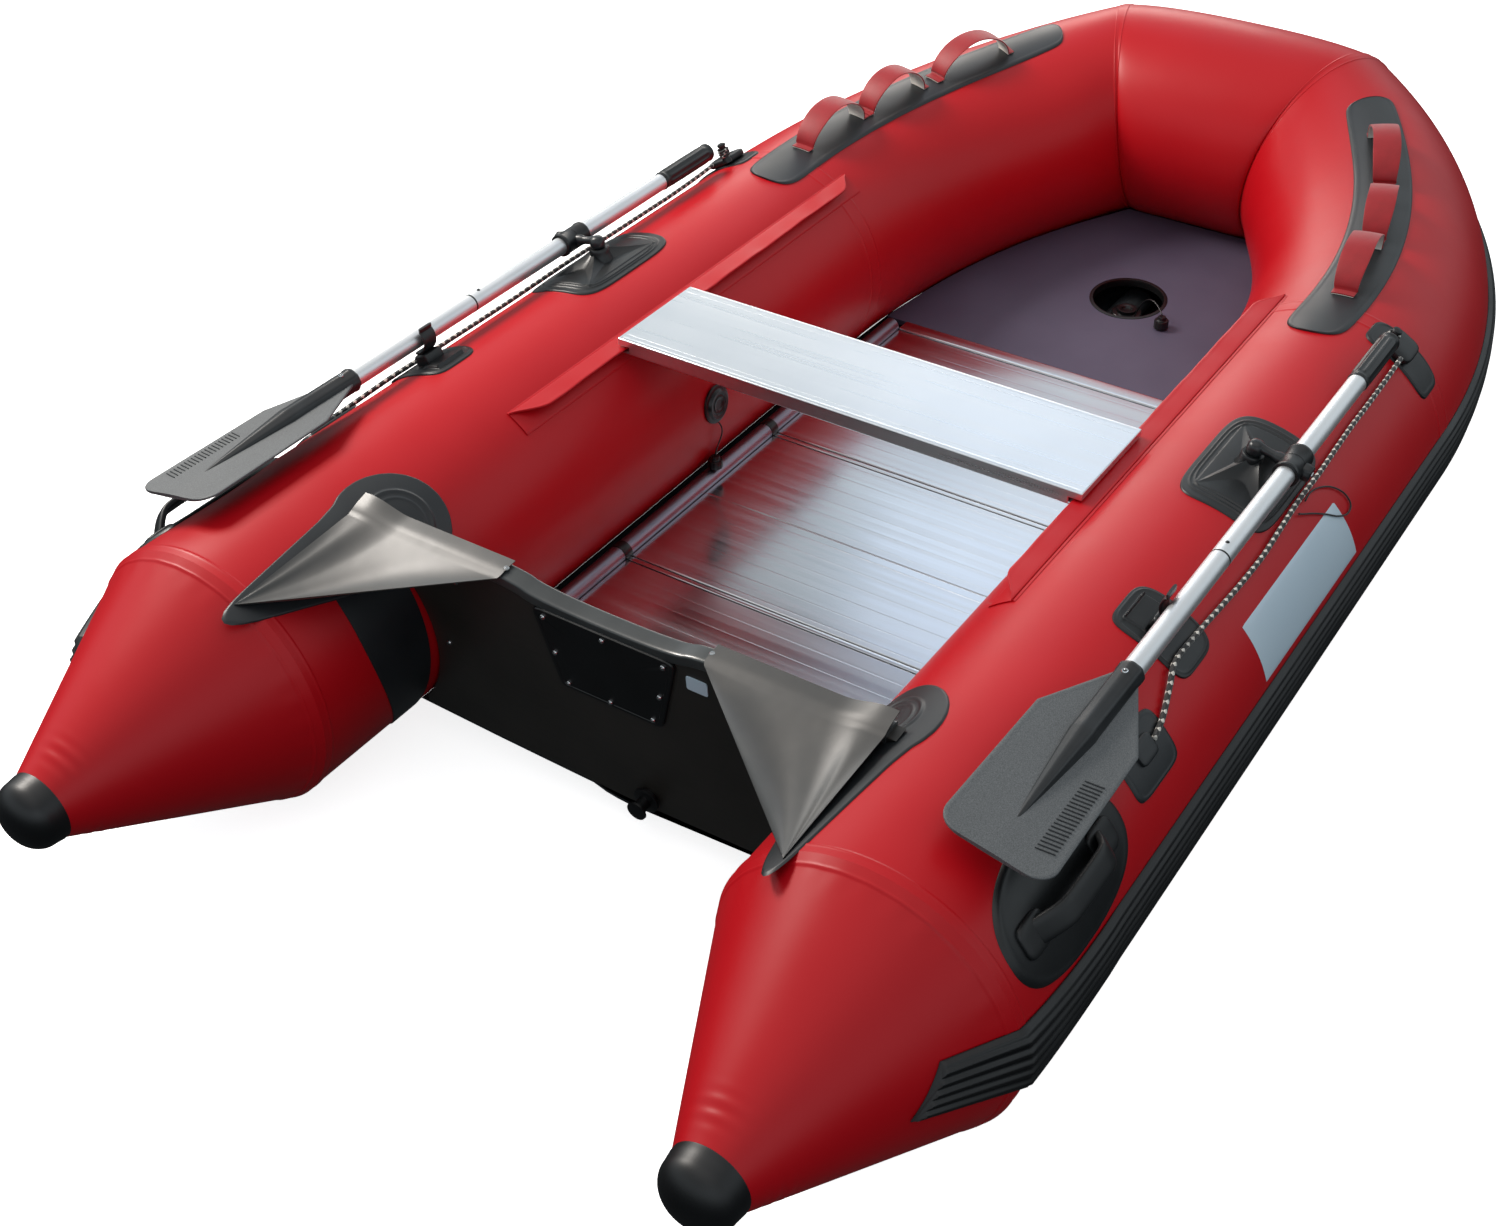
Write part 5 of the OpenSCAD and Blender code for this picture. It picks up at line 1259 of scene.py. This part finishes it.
hoopPart = swept(ringFoot + hoop @ ringAxes, circleLoop(towRing["wire"], 14), up=sideWay, caps=False)
makePiece("towRingPads", [turned(padProfile, ringFoot, ringAxes, 56), pebble((0.016, 0.026, 0.009),
                                                                             ringFoot + 0.0085 * outWay,
                                                                             ringAxes, 4)], "mouldedRubber",
          replaces=["tow_rings"], side="both", sharp=40)
makePiece("towRings", [hoopPart], "polishedStainless", side="both", sharp=180)
print("valves and rings made")


# Floor, light and backdrop
studio = {"floor": "#ffffff", "glow": 0.8, "key": 175.0, "glare": 34.0, "panel": 4.0, "fill": 5.0}


def addLight(name, place, target, size, power, colour="#ffffff"):
    data = bpy.data.lights.new(name, "AREA")
    data.shape = "RECTANGLE"
    data.size, data.size_y = size
    data.energy = power
    data.color = linear(colour)[:3]
    made = bpy.data.objects.new(name, data)
    bpy.context.scene.collection.objects.link(made)
    away = Vector(place) - Vector(target)
    made.matrix_world = Matrix.Translation(place) @ away.to_track_quat("Z", "Y").to_matrix().to_4x4()


addLight("keyLight", (-0.2, 3.3, 3.2), (0.0, 0.0, 0.3), (1.5, 1.2), studio["key"], "#fff8f0")
addLight("glarePanel", (4.4, 2.3, 1.55), (0.0, -0.1, 0.3), (2.6, 0.9), studio["glare"], "#fff4ea")
addLight("bowPanel", (3.5, 1.3, 3.4), (0.0, 0.0, 0.1), (1.5, 1.3), studio["panel"], "#d8e6ff")
addLight("fillLight", (-3.4, -2.6, 2.4), (0.0, -0.3, 0.3), (2.5, 2.0), studio["fill"], "#eef4ff")
bpy.context.scene.view_settings.view_transform = "Standard"
# The sky is dark below the horizon, bright in a band above it and dim overhead
sky = bpy.data.worlds.new("studioSky")
bpy.context.scene.world = sky
sky.use_nodes = True
skyWhere = addNode(sky, "TexCoord")
skyHeight = addNode(sky, "SeparateXYZ", None, {0: (skyWhere, "Generated")})
skyRamp = addNode(sky, "ValToRGB", None, {0: (skyHeight, 2)})
skyStops = [(0.0, 0.04), (0.04, 0.25), (0.16, 0.8), (0.52, 0.85), (0.64, 0.26), (1.0, 0.22)]
for place, level in skyStops:
    stop = skyRamp.color_ramp.elements.new(place) if 0 < place < 1 else skyRamp.color_ramp.elements[int(place)]
    stop.color = (level * 0.86, level * 0.95, level, 1)
skySeen = addNode(sky, "LightPath")  # the backdrop itself is seen as plain white paper
skyMix = addNode(sky, "Mix", {"data_type": "RGBA", 7: (1, 1, 1, 1)},
                 {0: (skySeen, "Is Camera Ray"), 6: (skyRamp, 0)})
sky.node_tree.links.new(skyMix.outputs[2], sky.node_tree.nodes["Background"].inputs["Color"])
floorMesh = bpy.data.meshes.new("studioFloor")
floorMesh.from_pydata([(-30, -30, 0), (30, -30, 0), (30, 30, 0), (-30, 30, 0)], [], [(0, 1, 2, 3)])
floorMaterial = bpy.data.materials.new("palePaper")
floorMaterial.use_nodes = True
paper = floorMaterial.node_tree.nodes["Principled BSDF"]
paper.inputs["Base Color"].default_value = linear(studio["floor"])
paper.inputs["Roughness"].default_value = 0.9
paper.inputs["Emission Color"].default_value = linear(studio["floor"])
paper.inputs["Emission Strength"].default_value = studio["glow"]
floorMesh.materials.append(floorMaterial)
studioFloor = bpy.data.objects.new("studioFloor", floorMesh)
studioFloor.visible_glossy = False  # keeps the paper's glare off the tubes' undersides
studioFloor.visible_diffuse = False
bpy.context.scene.collection.objects.link(studioFloor)
